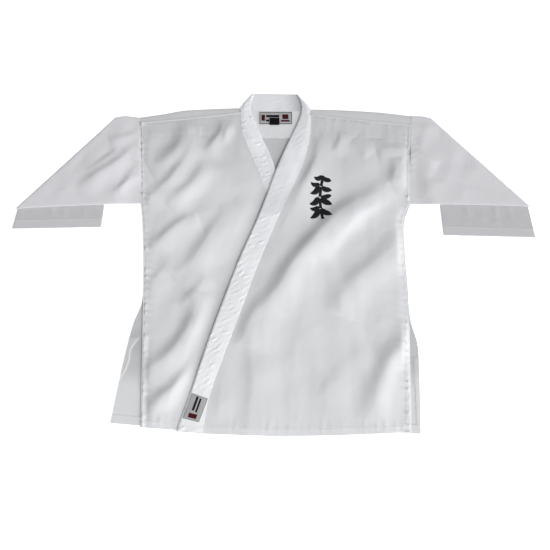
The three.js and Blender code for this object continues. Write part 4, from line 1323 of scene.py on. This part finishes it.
def build_collar():
    rise = np.linspace(0, 1, BAND_ROWS + 1)
    right_top, right_low = lapel_rows(RIGHT, rise * neck_share(RIGHT))
    left_top, left_low = lapel_rows(LEFT, rise * neck_share(LEFT))
    angles = np.linspace(0, math.pi, 11)
    right_turn_top, right_turn_low = neck_turn(RIGHT, angles)
    left_turn_top, left_turn_low = neck_turn(LEFT, angles)
    neck_inner, neck_outer = neck_rows()
    front_faces = np.concatenate([
        right_top, right_turn_top, neck_outer, left_turn_top[::-1], left_top[::-1]])
    back_faces = np.concatenate([
        right_low, right_turn_low, neck_inner, left_turn_low[::-1], left_low[::-1]])
    middle = (front_faces + back_faces)[:, BAND_COLUMNS // 2] / 2
    run = run_along(middle)
    width = np.linalg.norm(front_faces[:, -1] - front_faces[:, 0], axis=1)
    across = np.linspace(0, 1, BAND_COLUMNS + 1)
    uv = np.stack(np.broadcast_arrays(
        across[None, :] * width[:, None] * MM, run[:, None] * MM), axis=-1)
    # Tones of the band, with painted shade on the band behind the neck
    values = {"layers_and_shading": np.concatenate([
        lapel_tone(right_top), np.full(right_turn_top.shape[:2], RIGHT_TURN_TONE), neck_band_shade(neck_inner),
        np.full(left_turn_top.shape[:2], LEFT_TURN_TONE), lapel_tone(left_top)[::-1]])}
    piece = wall_piece(
        "collar_band", front_faces, back_faces, uv, material_for("band_cotton"), values=values,
        sharp_degrees=70)
    settle(
        piece, "quilted_band", ["right_lapel_band", "left_lapel_band", "back_neck_band"],
        held="folded", rests_on=["left_front_cloth", "right_front_cloth", "back_cloth"], **COLLAR_CUT)


# Sleeves: one flattened tube each, its rings fanning round to the fold and on to the cuff

SLEEVE_ACROSS = 60
SLEEVE_EDGE = 6
SLEEVE_UPPER = 62
SLEEVE_FOLD = 8
SLEEVE_LOWER = 60
SLEEVE_TUCK = 1.5
SLEEVE_TUCK_DROP = 0.3
SLEEVE_TUCK_SHARES = (0.0, 0.004, 0.012)
SLEEVE_CLEARANCE = 0.15


def ring_ends(sleeve, share):
    """Both ends, as plan points, of the ring at that share of the way to the fold."""
    armhole_top, armhole_bottom = np.array(sleeve.armhole, dtype=float)
    fold_top, fold_bottom = np.array(sleeve.fold, dtype=float)
    shoulder = np.array(sleeve.shoulder_point, dtype=float)
    if share < 0.5:
        top = lerp(armhole_top, shoulder, share * 2)
    else:
        top = lerp(shoulder, fold_top, share * 2 - 1)
    return top, lerp(armhole_bottom, fold_bottom, share)


def upper_heights(side, x, y):
    """Middle heights of the front and back sheets over the plan, before any relief."""
    sleeve = side.sleeve
    far_front = SLEEVE_AXIS_HEIGHT + FOLD_OUTER
    far_back = SLEEVE_AXIS_HEIGHT + FOLD_INNER
    share = np.clip((sleeve.fold[0][1] - y) / (sleeve.fold[0][1] - sleeve.cuff[0][1]), 0, 1)
    inner_cuff_x = lerp(abs(sleeve.fold[0][0]), abs(sleeve.cuff[0][0]), share)
    over_cuff = smoothstep(np.abs(x), inner_cuff_x - 44, inner_cuff_x - 8)
    back = lerp(WALL / 2, far_back, over_cuff)
    near_front = edge_height(side, y) + WALL / 2
    front = lerp(near_front, far_front, smoothstep(np.abs(x), 311, inner_cuff_x - 8))
    return np.maximum(front, back + WALL + 0.4), back


def sleeve_relief(side, x, y, seed):
    """Folds, creases and unevenness of the sleeve's visible layer."""
    uneven = 0.7 + 0.4 * undulation(x, y, seed, 62, 2.2, 2.2) + 0.05 * undulation(x, y, seed + 1, 22)
    from_armhole = np.abs(x) - np.abs(armhole_x(side.sleeve, y))
    strength = lerp(1, SLEEVE_FOLD_STRENGTH[side.name], smoothstep(from_armhole, 15, 60))
    folds = strength * ridges(side.sleeve.folds, x, y)
    gathers = 0.95 * puckers(from_armhole, y - 0.5 * np.abs(x), seed + 2, 11, 11)
    return folds + uneven * smoothstep(from_armhole, 2, 26) + gathers


def ring_stations(top, bottom, heights_at):
    """Plan point, height and normal (up share, along share) for each station round one ring."""
    along = (bottom - top) / np.linalg.norm(bottom - top)
    front_ends, back_ends = heights_at(np.array([top, bottom]), np.array([0.0, 1.0]))
    radii = (front_ends - back_ends) / 2
    start = top + along * (radii[0] + WALL / 2)
    finish = bottom - along * (radii[1] + WALL / 2)
    position = np.linspace(0, 1, SLEEVE_ACROSS + 1)
    layer = lerp(start[None], finish[None], position[:, None])
    front, back = heights_at(layer, position)
    turn = math.pi * np.arange(1, SLEEVE_EDGE + 1) / (SLEEVE_EDGE + 1)
    low_roll = finish[None] + along[None] * (radii[1] * np.sin(turn))[:, None]
    low_height = (front_ends[1] + back_ends[1]) / 2 + radii[1] * np.cos(turn)
    high_roll = start[None] - along[None] * (radii[0] * np.sin(turn))[:, None]
    high_height = (front_ends[0] + back_ends[0]) / 2 - radii[0] * np.cos(turn)
    plan = np.concatenate([layer, low_roll, layer[::-1], high_roll])
    height = np.concatenate([front, low_height, back[::-1], high_height])
    flat = np.ones(SLEEVE_ACROSS + 1)
    up_share = np.concatenate([flat, np.cos(turn), -flat, -np.cos(turn)])
    along_share = np.concatenate([0 * flat, np.sin(turn), 0 * flat, -np.sin(turn)])
    return plan, height, up_share, along_share, along


def distance_from_cuff(sleeve, points):
    """Distance of each point from the line of the cuff's end."""
    top, bottom = np.array(sleeve.cuff, dtype=float)
    along = (bottom - top) / np.linalg.norm(bottom - top)
    return np.abs((points[..., 1] - top[1]) * along[0] - (points[..., 0] - top[0]) * along[1])


def upper_rings(side, fold_top, fold_bottom, seed):
    """Middle points and normals of the rings from the armhole to the fold."""
    on_front = np.concatenate([
        np.ones(SLEEVE_ACROSS + 1), np.zeros(2 * SLEEVE_EDGE + SLEEVE_ACROSS + 1)])
    for share in np.concatenate([SLEEVE_TUCK_SHARES, np.linspace(0.0, 1.0, SLEEVE_UPPER + 1)[1:-1]]):
        top, bottom = ring_ends(side.sleeve, share)
        top = lerp(top, fold_top, share ** 4)
        bottom = lerp(bottom, fold_bottom, share ** 4)

        def heights_at(plan, position):
            front, back = upper_heights(side, plan[:, 0], plan[:, 1])
            fade = np.maximum(np.sin(math.pi * position), 0) ** 0.5
            relief = sleeve_relief(side, plan[:, 0], plan[:, 1], seed) * smoothstep(1 - share, 0, 0.25)
            return front + relief * fade, back

        plan, height, up, lean, along = ring_stations(top, bottom, heights_at)
        tucked = (1 - smoothstep(share, 0, 0.01)) * on_front
        shift = (SLEEVE_CLEARANCE - (SLEEVE_TUCK + SLEEVE_CLEARANCE) * tucked) * side.sign
        middle = points_of(plan[:, 0] + shift, plan[:, 1], height - SLEEVE_TUCK_DROP * tucked)
        yield middle, points_of(along[0] * lean, along[1] * lean, up)


def fold_rings(fold_top, fold_bottom, outward):
    """Middle points and normals of the rings round the fold."""

    def heights_at(plan, position):
        return np.full(len(plan), FOLD_OUTER), np.full(len(plan), FOLD_INNER)

    plan, height, up, lean, along = ring_stations(fold_top, fold_bottom, heights_at)
    for angle in np.linspace(0, math.pi, SLEEVE_FOLD + 1):
        out_x, out_y = outward * math.sin(angle)
        cosine = math.cos(angle)
        middle = points_of(
            plan[:, 0] + out_x * height, plan[:, 1] + out_y * height, SLEEVE_AXIS_HEIGHT + height * cosine)
        yield middle, points_of(along[0] * lean + out_x * up, along[1] * lean + out_y * up, cosine * up)


def lower_rings(side, fold_top, fold_bottom, seed):
    """Middle points and normals of the rings from the fold to the cuff, which lies behind."""
    cuff_top, cuff_bottom = np.array(side.sleeve.cuff, dtype=float)
    for share in 1 - np.linspace(1, 0, SLEEVE_LOWER + 1)[1:] ** 1.6:

        def heights_at(plan, position):
            from_cuff = distance_from_cuff(side.sleeve, plan)
            fade = np.maximum(np.sin(math.pi * position), 0) ** 0.5 * smoothstep(share, 0, 0.2)
            waves = np.maximum(undulation(plan[:, 0], plan[:, 1], seed + 7, 34, 0.4, 1.6), 0)
            swell = 0.5 * waves * fade * smoothstep(from_cuff, CUFF_HEM, CUFF_HEM + 16)
            hem = 0.4 * (1 - smoothstep(from_cuff, CUFF_HEM - 0.8, CUFF_HEM + 0.8))
            return np.full(len(plan), FOLD_OUTER), FOLD_INNER - swell - hem

        plan, height, up, lean, along = ring_stations(
            lerp(fold_top, cuff_top, share), lerp(fold_bottom, cuff_bottom, share), heights_at)
        middle = points_of(plan[:, 0], plan[:, 1], SLEEVE_AXIS_HEIGHT - height)
        yield middle, points_of(along[0] * lean, along[1] * lean, -up)


def sleeve_rings(side, seed):
    """Outer and inner grids of a sleeve, ring by ring from the armhole to the cuff."""
    fold_top, fold_bottom = np.array(side.sleeve.fold, dtype=float)
    outward = outward_from(fold_top, fold_bottom, side.sign)
    inset = outward * (FOLD_OUTER + WALL / 2)
    ends = (fold_top - inset, fold_bottom - inset)
    rings = [*upper_rings(side, *ends, seed), *fold_rings(*ends, outward), *lower_rings(side, *ends, seed)]
    middle, normal = (np.array(part) for part in zip(*rings))
    return middle + normal * WALL / 2, middle - normal * WALL / 2


def build_sleeve(name, node, side, seed):
    outer, inner = sleeve_rings(side, seed)
    uv = outer[..., :2] * MM
    layers_and_shading = np.zeros(outer.shape[:2])
    cuff = outer[-SLEEVE_LOWER:]
    in_hem = 1 - smoothstep(distance_from_cuff(side.sleeve, cuff), CUFF_HEM - 1, CUFF_HEM + 1)
    # Painted shade on the cuff strip behind the sleeve, a little lighter on its hem
    layers_and_shading[-SLEEVE_LOWER:] = lerp(CUFF_SHADE, CUFF_HEM_SHADE, in_hem)
    piece = wall_piece(
        name, outer, inner, uv, material_for("sleeve_canvas"), ring=True, values={"layers_and_shading": layers_and_shading},
        sharp_degrees=60)
    settle(piece, "cotton_cloth", [node], held="folded", **SLEEVE_CUT)


# Labels

LABEL_BODY = 0.6
TAPE_HALF = 0.22
TAB_LOOP_RADIUS = 0.45
TAB_MARGIN = 1.5


def build_neck_label():
    left, right, low, high = NECK_LABEL
    x = np.linspace(left, right, 59)[None, :]
    y = np.linspace(low, high, 27)[:, None]
    underside = 2 * WALL + 2 * SEAM_GAP
    swell = 0.25 * np.sin(math.pi * (y - low) / (high - low)) * (1 + 0.4 * undulation(x, y, 101, 30, 0, 0.6))
    folded_end = 0.3 * (1 - smoothstep(np.minimum(x - left, right - x), 2.0, 3.0))
    top = points_of(x, y, underside + LABEL_BODY + swell + folded_end)
    bottom = points_of(x, y, underside + 0 * x + 0 * y)
    uv = (top[..., :2] - np.array([left, low])) * MM
    piece = wall_piece(
        "neck_label_woven", top, bottom, uv, material_for("neck_label_satin"), sharp_degrees=40)
    settle(
        piece, "woven_label", ["neck_label"], held="laid", rests_on=["yoke_lining_cloth"],
        **NECK_LABEL_CUT)


def build_size_tab():
    """A folded loop of black tape whose two ends are caught under the neck label."""
    left, right, low, high = SIZE_TAB
    base = 2 * WALL + LABEL_WALL + 2 * SEAM_GAP
    across = np.linspace(0, 1, 13)
    run = np.linspace(high - TAB_MARGIN, low + TAB_MARGIN, 12)
    turn = np.linspace(0, math.pi, 7)
    path = [(y, base + 0.8 + TAB_LOOP_RADIUS) for y in run]
    path += [
        (run[-1] - TAB_LOOP_RADIUS * math.sin(angle), base + 0.8 + TAB_LOOP_RADIUS * math.cos(angle))
        for angle in turn]
    path += [(y, base + 0.8 - TAB_LOOP_RADIUS) for y in run[::-1]]
    path = np.array(path)
    _, normal = directions_along(path)
    x = lerp(left, right, across)[None, :]
    wave = 0.1 * np.sin(across * 7)[None, :]
    outer, inner = path - normal * TAPE_HALF, path + normal * TAPE_HALF
    top = points_of(x, outer[:, 0:1], outer[:, 1:2] + wave)
    bottom = points_of(x, inner[:, 0:1], inner[:, 1:2] + wave)
    uv = np.stack(np.broadcast_arrays(x * MM, run_along(path)[:, None] * MM), axis=-1)
    piece = wall_piece("size_tab_tape", top, bottom, uv, material_for("black_tape"))
    settle(piece, "dark_tab", ["size_tab"], held="folded", rests_on=["neck_label_woven"], **SIZE_TAB_CUT)


def build_hem_label():
    across = np.linspace(0, 1, 31)
    up = np.linspace(0, 1, 43)
    length = LEFT.seam_range[1] - LEFT.seam_range[0]
    tops, bottoms = [], []
    for share_up in up:
        share = (HEM_LABEL_FROM_HEM + HEM_LABEL_LENGTH * share_up + HEM_LABEL_TILT * (0.5 - across)) / length
        free = np.stack(lapel_free_point(LEFT, share), axis=-1)
        seam = np.stack(lapel_seam_point(LEFT, share), axis=-1)
        width = np.linalg.norm(seam - free, axis=1)
        from_free = HEM_LABEL_INSET + HEM_LABEL_WIDTH * across
        plan = free + (seam - free) * (from_free / width)[:, None]
        x, y = plan[:, 0], plan[:, 1]
        base = front_height(LEFT, x, y) + band_thickness(1 - from_free / width) + SEAM_GAP
        side_edge = np.minimum(across, 1 - across) * HEM_LABEL_WIDTH
        edge = np.minimum(side_edge, min(share_up, 1 - share_up) * HEM_LABEL_LENGTH)
        swell = 0.25 * smoothstep(edge, 0, 8) + 0.15 * undulation(x, y, 103, 26)
        tops.append(points_of(x, y, base + LABEL_BODY + swell * smoothstep(edge, 0, 3)))
        bottoms.append(points_of(x, y, base))
    uv = np.stack(np.meshgrid(across * HEM_LABEL_WIDTH * MM, up * HEM_LABEL_LENGTH * MM), axis=-1)
    piece = wall_piece(
        "hem_label_woven", np.array(tops), np.array(bottoms), uv, material_for("hem_label_satin"),
        sharp_degrees=40)
    settle(piece, "woven_label", ["hem_label"], held="laid", rests_on=["collar_band"], **HEM_LABEL_CUT)


# Sewing lines, as paths over the cloth in millimetres

HEM_ROW_ENDS = {"right": -205, "left": -146}
BAND_ROW_PLACES = (0.055, 0.945)
FACING_ROW_INSET = 2.5
BACK_HEM_ROWS = ((-334, -283), (282, 296))


def front_path(side, x, y):
    return points_of(x, y, front_surface(side, x, y) + SEWING_RISE)


def front_stitch_paths(side):
    """Sewing lines of one front: shoulder seam, yoke line, hem, vent and two rows at the armhole."""
    sign = side.sign
    shoulder_x = np.linspace(abs(side.edge_x(side.seam_top_y)) - 3, NECK_HALF_WIDTH - 0.5, 150) * sign
    yoke_x = np.linspace(292, 92, 130) * sign
    hem_x = np.linspace(side.corner[0] - 3 * sign, HEM_ROW_ENDS[side.name], 220)
    vent_y = np.linspace(side.vent_top, side.corner[1] + 2, 170)
    armhole_y = np.linspace(side.armpit_y + 2, side.seam_top_y - 4, 120)
    paths = [
        front_path(side, shoulder_x, side.shoulder_seam_y(shoulder_x) - SHOULDER_ROW_INSET),
        front_path(side, yoke_x, yoke_line_y(side, yoke_x)),
        front_path(side, hem_x, side.hem_y(hem_x) + hem_width() - HEM_ROW_INSET),
        front_path(side, side.edge_x(vent_y) - VENT_ROW_INSET * sign, vent_y),
    ]
    for inset in ARMHOLE_ROW_INSETS:
        paths.append(front_path(side, side.edge_x(armhole_y) - inset * sign, armhole_y))
    return paths


def band_path(side, across, low_share, high_share):
    """A row of sewing along the lapel, at a share of its width from the seam."""
    x, y = lapel_place(side, np.linspace(low_share, high_share, 420), across)
    return points_of(x, y, front_height(side, x, y) + band_thickness(across) + 0.1)


def band_stitch_paths():
    paths = []
    for across in BAND_ROW_PLACES:
        paths.append(band_path(LEFT, across, 0.004, neck_share(LEFT)))
        paths.append(band_path(RIGHT, across, 0.78, neck_share(RIGHT)))
    return paths


def back_path(x, y):
    return points_of(x, y, WALL + back_relief(x, y) + SEWING_RISE)


def back_stitch_paths():
    """Sewing lines of the facings, of the back's hem in the vents and of the yoke lining."""
    right_y = np.linspace(RIGHT_VENT_TOP - 20, -228, 90)
    left_y = np.linspace(LEFT_FACING_TOP - 12, -340, 160)
    paths = [
        back_path(right_facing_x(right_y) - FACING_ROW_INSET, right_y),
        back_path(LEFT_FACING_X + FACING_ROW_INSET + 0 * left_y, left_y),
    ]
    for start, end in BACK_HEM_ROWS:
        x = np.linspace(start, end, 40)
        paths.append(back_path(x, back_hem_y(x) + 17))
    x = np.linspace(-80, 80, 100)
    paths.append(points_of(x, LINING_LOWER_EDGE + LINING_ROW_INSET, 2 * WALL + SEAM_GAP))
    return paths


def cuff_stitch_paths():
    height = SLEEVE_AXIS_HEIGHT - FOLD_INNER + WALL / 2 + 0.45
    paths = []
    for sleeve in SLEEVES.values():
        (top_x, top_y), (bottom_x, bottom_y) = sleeve.cuff
        x = np.linspace(lerp(top_x, bottom_x, 0.015), lerp(top_x, bottom_x, 0.985), 120)
        y = lerp(top_y, bottom_y, (x - top_x) / (bottom_x - top_x)) + CUFF_HEM - 2
        paths.append(points_of(x, y, height))
    return paths


def label_stitch_paths():
    left, right, low, high = NECK_LABEL
    y = np.linspace(low + 1, high - 1, 40)
    height = 2 * WALL + 2 * SEAM_GAP + 1.0
    return [points_of(x, y, height) for x in (left + 1.2, right - 1.2)]


def stitch_tree(material):
    """Geometry nodes that lay stitches along each path."""
    tree = bpy.data.node_groups.new("stitch_rows", "GeometryNodeTree")
    interface = tree.interface
    interface.new_socket("Geometry", in_out="INPUT", socket_type="NodeSocketGeometry")
    for name in ("Pitch", "Length", "Width", "Jitter"):
        interface.new_socket(name, in_out="INPUT", socket_type="NodeSocketFloat")
    interface.new_socket("Seed", in_out="INPUT", socket_type="NodeSocketInt")
    interface.new_socket("Geometry", in_out="OUTPUT", socket_type="NodeSocketGeometry")

    def node(kind, settings=None, inputs=None):
        made = tree.nodes.new(kind)
        for key, value in (settings or {}).items():
            setattr(made, key, value)
        for key, value in (inputs or {}).items():
            if isinstance(value, bpy.types.NodeSocket):
                tree.links.new(value, made.inputs[key])
            else:
                made.inputs[key].default_value = value
        return made

    given = node("NodeGroupInput")
    curve = node("GeometryNodeMeshToCurve", None, {"Mesh": given.outputs["Geometry"]})
    points = node(
        "GeometryNodeCurveToPoints", {"mode": "LENGTH"},
        {"Curve": curve.outputs["Curve"], "Length": given.outputs["Pitch"]})
    turned = node(
        "FunctionNodeAlignRotationToVector", {"axis": "X"}, {"Vector": points.outputs["Tangent"]})
    jitter = node(
        "FunctionNodeRandomValue", {"data_type": "FLOAT"},
        {2: -1.0, 3: 1.0, "Seed": given.outputs["Seed"]})
    lean = node(
        "ShaderNodeMath", {"operation": "MULTIPLY"}, {0: jitter.outputs[1], 1: given.outputs["Jitter"]})
    spin = node("ShaderNodeCombineXYZ", None, {2: lean.outputs[0]})
    rotated = node(
        "FunctionNodeRotateRotation", {"rotation_space": "LOCAL"},
        {"Rotation": turned.outputs[0], "Rotate By": spin.outputs[0]})
    size = node(
        "ShaderNodeCombineXYZ", None,
        {0: given.outputs["Length"], 1: given.outputs["Width"], 2: given.outputs["Width"]})
    bead = node("GeometryNodeMeshUVSphere", None, {"Segments": 6, "Rings": 4, "Radius": 0.5})
    laid = node(
        "GeometryNodeInstanceOnPoints", None,
        {"Points": points.outputs["Points"], "Instance": bead.outputs["Mesh"],
         "Rotation": rotated.outputs[0], "Scale": size.outputs[0]})
    real = node("GeometryNodeRealizeInstances", None, {"Geometry": laid.outputs[0]})
    smooth = node("GeometryNodeSetShadeSmooth", None, {"Geometry": real.outputs[0]})
    painted = node("GeometryNodeSetMaterial", None, {"Geometry": smooth.outputs[0], "Material": material})
    result = node("NodeGroupOutput")
    tree.links.new(painted.outputs[0], result.inputs[0])
    return tree


def stitched(name, paths, seed, material):
    """One plain mesh of stitches along all the given paths."""
    sizes = bpy.context.scene.gi_sizes
    points = np.concatenate(paths) * MM
    edges = []
    start = 0
    for path in paths:
        edges += [(start + k, start + k + 1) for k in range(len(path) - 1)]
        start += len(path)
    mesh = bpy.data.meshes.new(name)
    mesh.from_pydata(points.tolist(), edges, [])
    piece = add_object(name, mesh)
    modifier = piece.modifiers.new("stitches", "NODES")
    modifier.node_group = stitch_tree(material)
    values = {
        "Pitch": sizes.stitch_pitch, "Length": sizes.stitch_length, "Width": sizes.stitch_width,
        "Jitter": 0.1, "Seed": seed}
    for socket in modifier.node_group.interface.items_tree:
        if socket.item_type == "SOCKET" and socket.in_out == "INPUT" and socket.name in values:
            modifier[socket.identifier] = values[socket.name]
    bpy.context.view_layer.update()
    evaluated = piece.evaluated_get(bpy.context.evaluated_depsgraph_get())
    result = bpy.data.meshes.new_from_object(evaluated)
    piece.modifiers.clear()
    piece.data = result
    result.name = name
    bpy.data.meshes.remove(mesh)
    if not result.polygons:
        raise RuntimeError(f"{name} came out empty")
    return piece


# Sprig: a stalk and leaves of raised satin stitches on the left breast

SPRIG_ORIGIN = (101, 115)
STALK = [(3, 0), (-1, 27), (-2, 54), (1, 80), (6, 104)]
STALK_PIECES = [(0.0, 0.235), (0.265, 0.485), (0.515, 0.735), (0.765, 1.0)]
STALK_HALF_WIDTH = 3.9
STALK_LEAN = 0.25
LEAF_FULLNESS = 1.28
LEAF_LEAN = 0.45
LEAVES = [
    ((-4, 27), (-25, 3), 5.6, 4),
    ((2, 28), (24, 8), 5.6, -4),
    ((-4, 30), (-25, 27), 4.6, 3),
    ((-4, 53), (-26, 37), 5.8, 4),
    ((2, 54), (25, 36), 5.8, -4),
    ((2, 57), (24, 59), 4.8, -3),
    ((-3, 80), (-24, 62), 5.6, 4),
    ((4, 80), (25, 70), 5.4, -4),
    ((-2, 83), (-22, 88), 4.6, 3),
    ((4, 103), (-15, 101), 4.8, 4),
    ((7, 102), (24, 92), 5.0, -3),
]
THREAD_STEP = 0.33
SATIN_COLUMNS = 9
SATIN_CROWN = 0.95
SATIN_RIB = 0.12
SATIN_ROOT = 0.25


def satin_shape(spine, half_width, lean):
    """Top and bottom points of one raised satin shape: a rib for each thread, crowned across."""
    length = run_along(spine)
    count = max(int(length[-1] / THREAD_STEP), 8)
    place = np.linspace(0, length[-1], count + 1)
    centre = np.stack([np.interp(place, length, spine[:, k]) for k in (0, 1)], axis=1)
    tangent, normal = directions_along(centre)
    width = half_width(place / length[-1])
    across = np.linspace(-1, 1, SATIN_COLUMNS)
    thread = (normal + tangent * lean)[:, None]
    plan = centre[:, None] + thread * (width[:, None] * across[None, :])[..., None]
    x, y = plan[..., 0], plan[..., 1]
    crown = np.sqrt(np.clip(1 - across ** 2, 0, 1))[None, :] * np.clip(width / 2, 0.25, 1)[:, None]
    rib = (np.arange(count + 1) % 2)[:, None] * (1 - across ** 2)[None, :]
    base = front_surface(LEFT, x, y)
    return points_of(x, y, base + SATIN_CROWN * crown + SATIN_RIB * rib), points_of(x, y, base - SATIN_ROOT)


def leaf_width(half):
    """Half the width of a leaf along its spine."""
    return lambda share: half * np.clip(np.sin(math.pi * share ** 0.8), 0.04, 1) ** 0.85


def stalk_width(share):
    """Half the width of a piece of the stalk, which flares a little towards its joints."""
    return STALK_HALF_WIDTH * (0.82 + 0.18 * (2 * share - 1) ** 4)


def bowed_spine(start, end, bow):
    share = np.linspace(0, 1, 24)[:, None]
    start, end = np.array(start, dtype=float), np.array(end, dtype=float)
    along = (end - start) / np.linalg.norm(end - start)
    side = np.array([-along[1], along[0]])
    return lerp(start[None], end[None], share) + side[None] * bow * 4 * share * (1 - share)


def build_sprig():
    origin = np.array(SPRIG_ORIGIN, dtype=float)
    stalk = smooth_line(STALK, 100) + origin
    shapes = [
        satin_shape(stalk[round(low * 100):round(high * 100) + 1], stalk_width, STALK_LEAN)
        for low, high in STALK_PIECES]
    for start, end, half, bow in LEAVES:
        spine = bowed_spine(start, end, bow) + origin
        shapes.append(satin_shape(spine, leaf_width(half * LEAF_FULLNESS), LEAF_LEAN))
    points, quads = [], []
    offset = 0
    for top, bottom in shapes:
        walls = wall_quads(*top.shape[:2], None, False)
        both = np.concatenate([top.reshape(-1, 3), bottom.reshape(-1, 3)])
        if signed_volume(both, walls) < 0:
            walls = walls[:, ::-1]
        quads.append(walls + offset)
        points.append(both)
        offset += len(both)
    points = np.concatenate(points)
    piece = mesh_piece(
        "breast_sprig", points, np.concatenate(quads), points[:, :2] * MM, material_for("black_thread"),
        sharp_degrees=80)
    settle(piece, "dark_tab")


# Stage


def look_at(thing, target):
    thing.rotation_euler = (Vector(target) - thing.location).to_track_quat("-Z", "Y").to_euler()


def add_light(name, kind, place, target, **settings):
    """A light at that place which shines towards the target."""
    data = bpy.data.lights.new(name, kind)
    for key, value in settings.items():
        setattr(data, key, value)
    light = add_object(name, data)
    light.location = place
    look_at(light, target)


def build_floor(colour):
    corners = [
        (x * FLOOR_REACH, y * FLOOR_REACH, FLOOR_HEIGHT) for x, y in ((-1, -1), (1, -1), (1, 1), (-1, 1))]
    mesh = bpy.data.meshes.new("studio_floor")
    mesh.from_pydata(corners, [], [(0, 1, 2, 3)])
    mesh.materials.append(floor_finish(colour))
    add_object("studio_floor", mesh)


def build_camera():
    data = bpy.data.cameras.new("photo_camera")
    data.lens = CAMERA_LENS_MM
    data.sensor_width = 36.0
    camera = add_object("photo_camera", data)
    camera.location = CAMERA_PLACE
    look_at(camera, CAMERA_TARGET)
    bpy.context.scene.camera = camera


def build_world(strength):
    world = bpy.data.worlds.new("studio_world")
    world.use_nodes = True
    background = world.node_tree.nodes["Background"]
    background.inputs["Color"].default_value = (1.0, 1.0, 1.0, 1.0)
    background.inputs["Strength"].default_value = strength
    bpy.context.scene.world = world


class GI_OT_stage(bpy.types.Operator):
    """Adds the pale floor, the soft lights and the camera"""

    bl_idname = "gi.stage"
    bl_label = "Stage"

    def execute(self, context):
        build_floor(context.scene.gi_colours.floor)
        build_camera()
        build_world(WORLD_STRENGTH)
        add_light(
            "key_light", "SUN", KEY_PLACE, (0, 0, 0), angle=math.radians(KEY_SPREAD_DEGREES),
            energy=KEY_STRENGTH)
        add_light("fill_light", "AREA", FILL_PLACE, FILL_TARGET, size=FILL_SIZE, energy=FILL_POWER)
        context.scene.view_settings.view_transform = "Standard"
        return {"FINISHED"}


class GI_OT_back(bpy.types.Operator):
    """Makes the back with its turned-over shoulders, and the yoke lining"""

    bl_idname = "gi.back"
    bl_label = "Back and lining"

    def execute(self, context):
        build_back()
        build_lining()
        return {"FINISHED"}


class GI_OT_fronts(bpy.types.Operator):
    """Makes the two fronts, the left one crossed over the right"""

    bl_idname = "gi.fronts"
    bl_label = "Fronts"

    def execute(self, context):
        build_front("right_front_cloth", "right_front", RIGHT, ["back_cloth"])
        build_front("left_front_cloth", "left_front", LEFT, ["right_front_cloth", "back_cloth"])
        return {"FINISHED"}


class GI_OT_collar(bpy.types.Operator):
    """Makes the quilted band that runs down both lapels and round the neck"""

    bl_idname = "gi.collar"
    bl_label = "Collar band"

    def execute(self, context):
        build_collar()
        return {"FINISHED"}


class GI_OT_sleeves(bpy.types.Operator):
    """Makes both sleeves, folded back behind themselves"""

    bl_idname = "gi.sleeves"
    bl_label = "Sleeves"

    def execute(self, context):
        build_sleeve("right_sleeve_cloth", "right_sleeve", RIGHT, 121)
        build_sleeve("left_sleeve_cloth", "left_sleeve", LEFT, 131)
        return {"FINISHED"}


class GI_OT_labels(bpy.types.Operator):
    """Makes the woven labels and the black tab"""

    bl_idname = "gi.labels"
    bl_label = "Labels"

    def execute(self, context):
        build_neck_label()
        build_size_tab()
        build_hem_label()
        return {"FINISHED"}


class GI_OT_stitching(bpy.types.Operator):
    """Lays the rows of stitches along hems, seams and bands"""

    bl_idname = "gi.stitching"
    bl_label = "Stitching"

    def execute(self, context):
        paths = front_stitch_paths(RIGHT) + front_stitch_paths(LEFT) + back_stitch_paths()
        paths += cuff_stitch_paths() + label_stitch_paths() + band_stitch_paths()
        settle(stitched("sewing_stitches", paths, 5, material_for("sewing_thread")), "cotton_cloth")
        return {"FINISHED"}


class GI_OT_sprig(bpy.types.Operator):
    """Embroiders the black sprig on the left breast"""

    bl_idname = "gi.sprig"
    bl_label = "Embroidered sprig"

    def execute(self, context):
        build_sprig()
        return {"FINISHED"}


class GI_PT_parts(bpy.types.Panel):
    """Lists the jacket's pieces and settings"""

    bl_idname = "GI_PT_parts"
    bl_label = "Karate gi jacket"
    bl_space_type = "VIEW_3D"
    bl_region_type = "UI"
    bl_category = "Gi"

    def draw(self, context):
        layout = self.layout
        for operator in OPERATORS:
            layout.operator(operator.bl_idname)
        for group in (context.scene.gi_sizes, context.scene.gi_colours):
            box = layout.box()
            for name in group.__annotations__:
                box.prop(group, name)


OPERATORS = (
    GI_OT_stage, GI_OT_back, GI_OT_fronts, GI_OT_collar,
    GI_OT_sleeves, GI_OT_labels, GI_OT_stitching, GI_OT_sprig,
)
CLASSES = (GiSizes, GiColours, *OPERATORS, GI_PT_parts)


def register():
    for cls in CLASSES:
        bpy.utils.register_class(cls)
    bpy.types.Scene.gi_sizes = bpy.props.PointerProperty(type=GiSizes)
    bpy.types.Scene.gi_colours = bpy.props.PointerProperty(type=GiColours)


def unregister():
    del bpy.types.Scene.gi_colours
    del bpy.types.Scene.gi_sizes
    for cls in reversed(CLASSES):
        bpy.utils.unregister_class(cls)


def main():
    register()
    bpy.ops.gi.stage()
    bpy.ops.gi.back()
    bpy.ops.gi.fronts()
    bpy.ops.gi.collar()
    bpy.ops.gi.sleeves()
    bpy.ops.gi.labels()
    bpy.ops.gi.stitching()
    bpy.ops.gi.sprig()


if __name__ == "__main__":
    main()
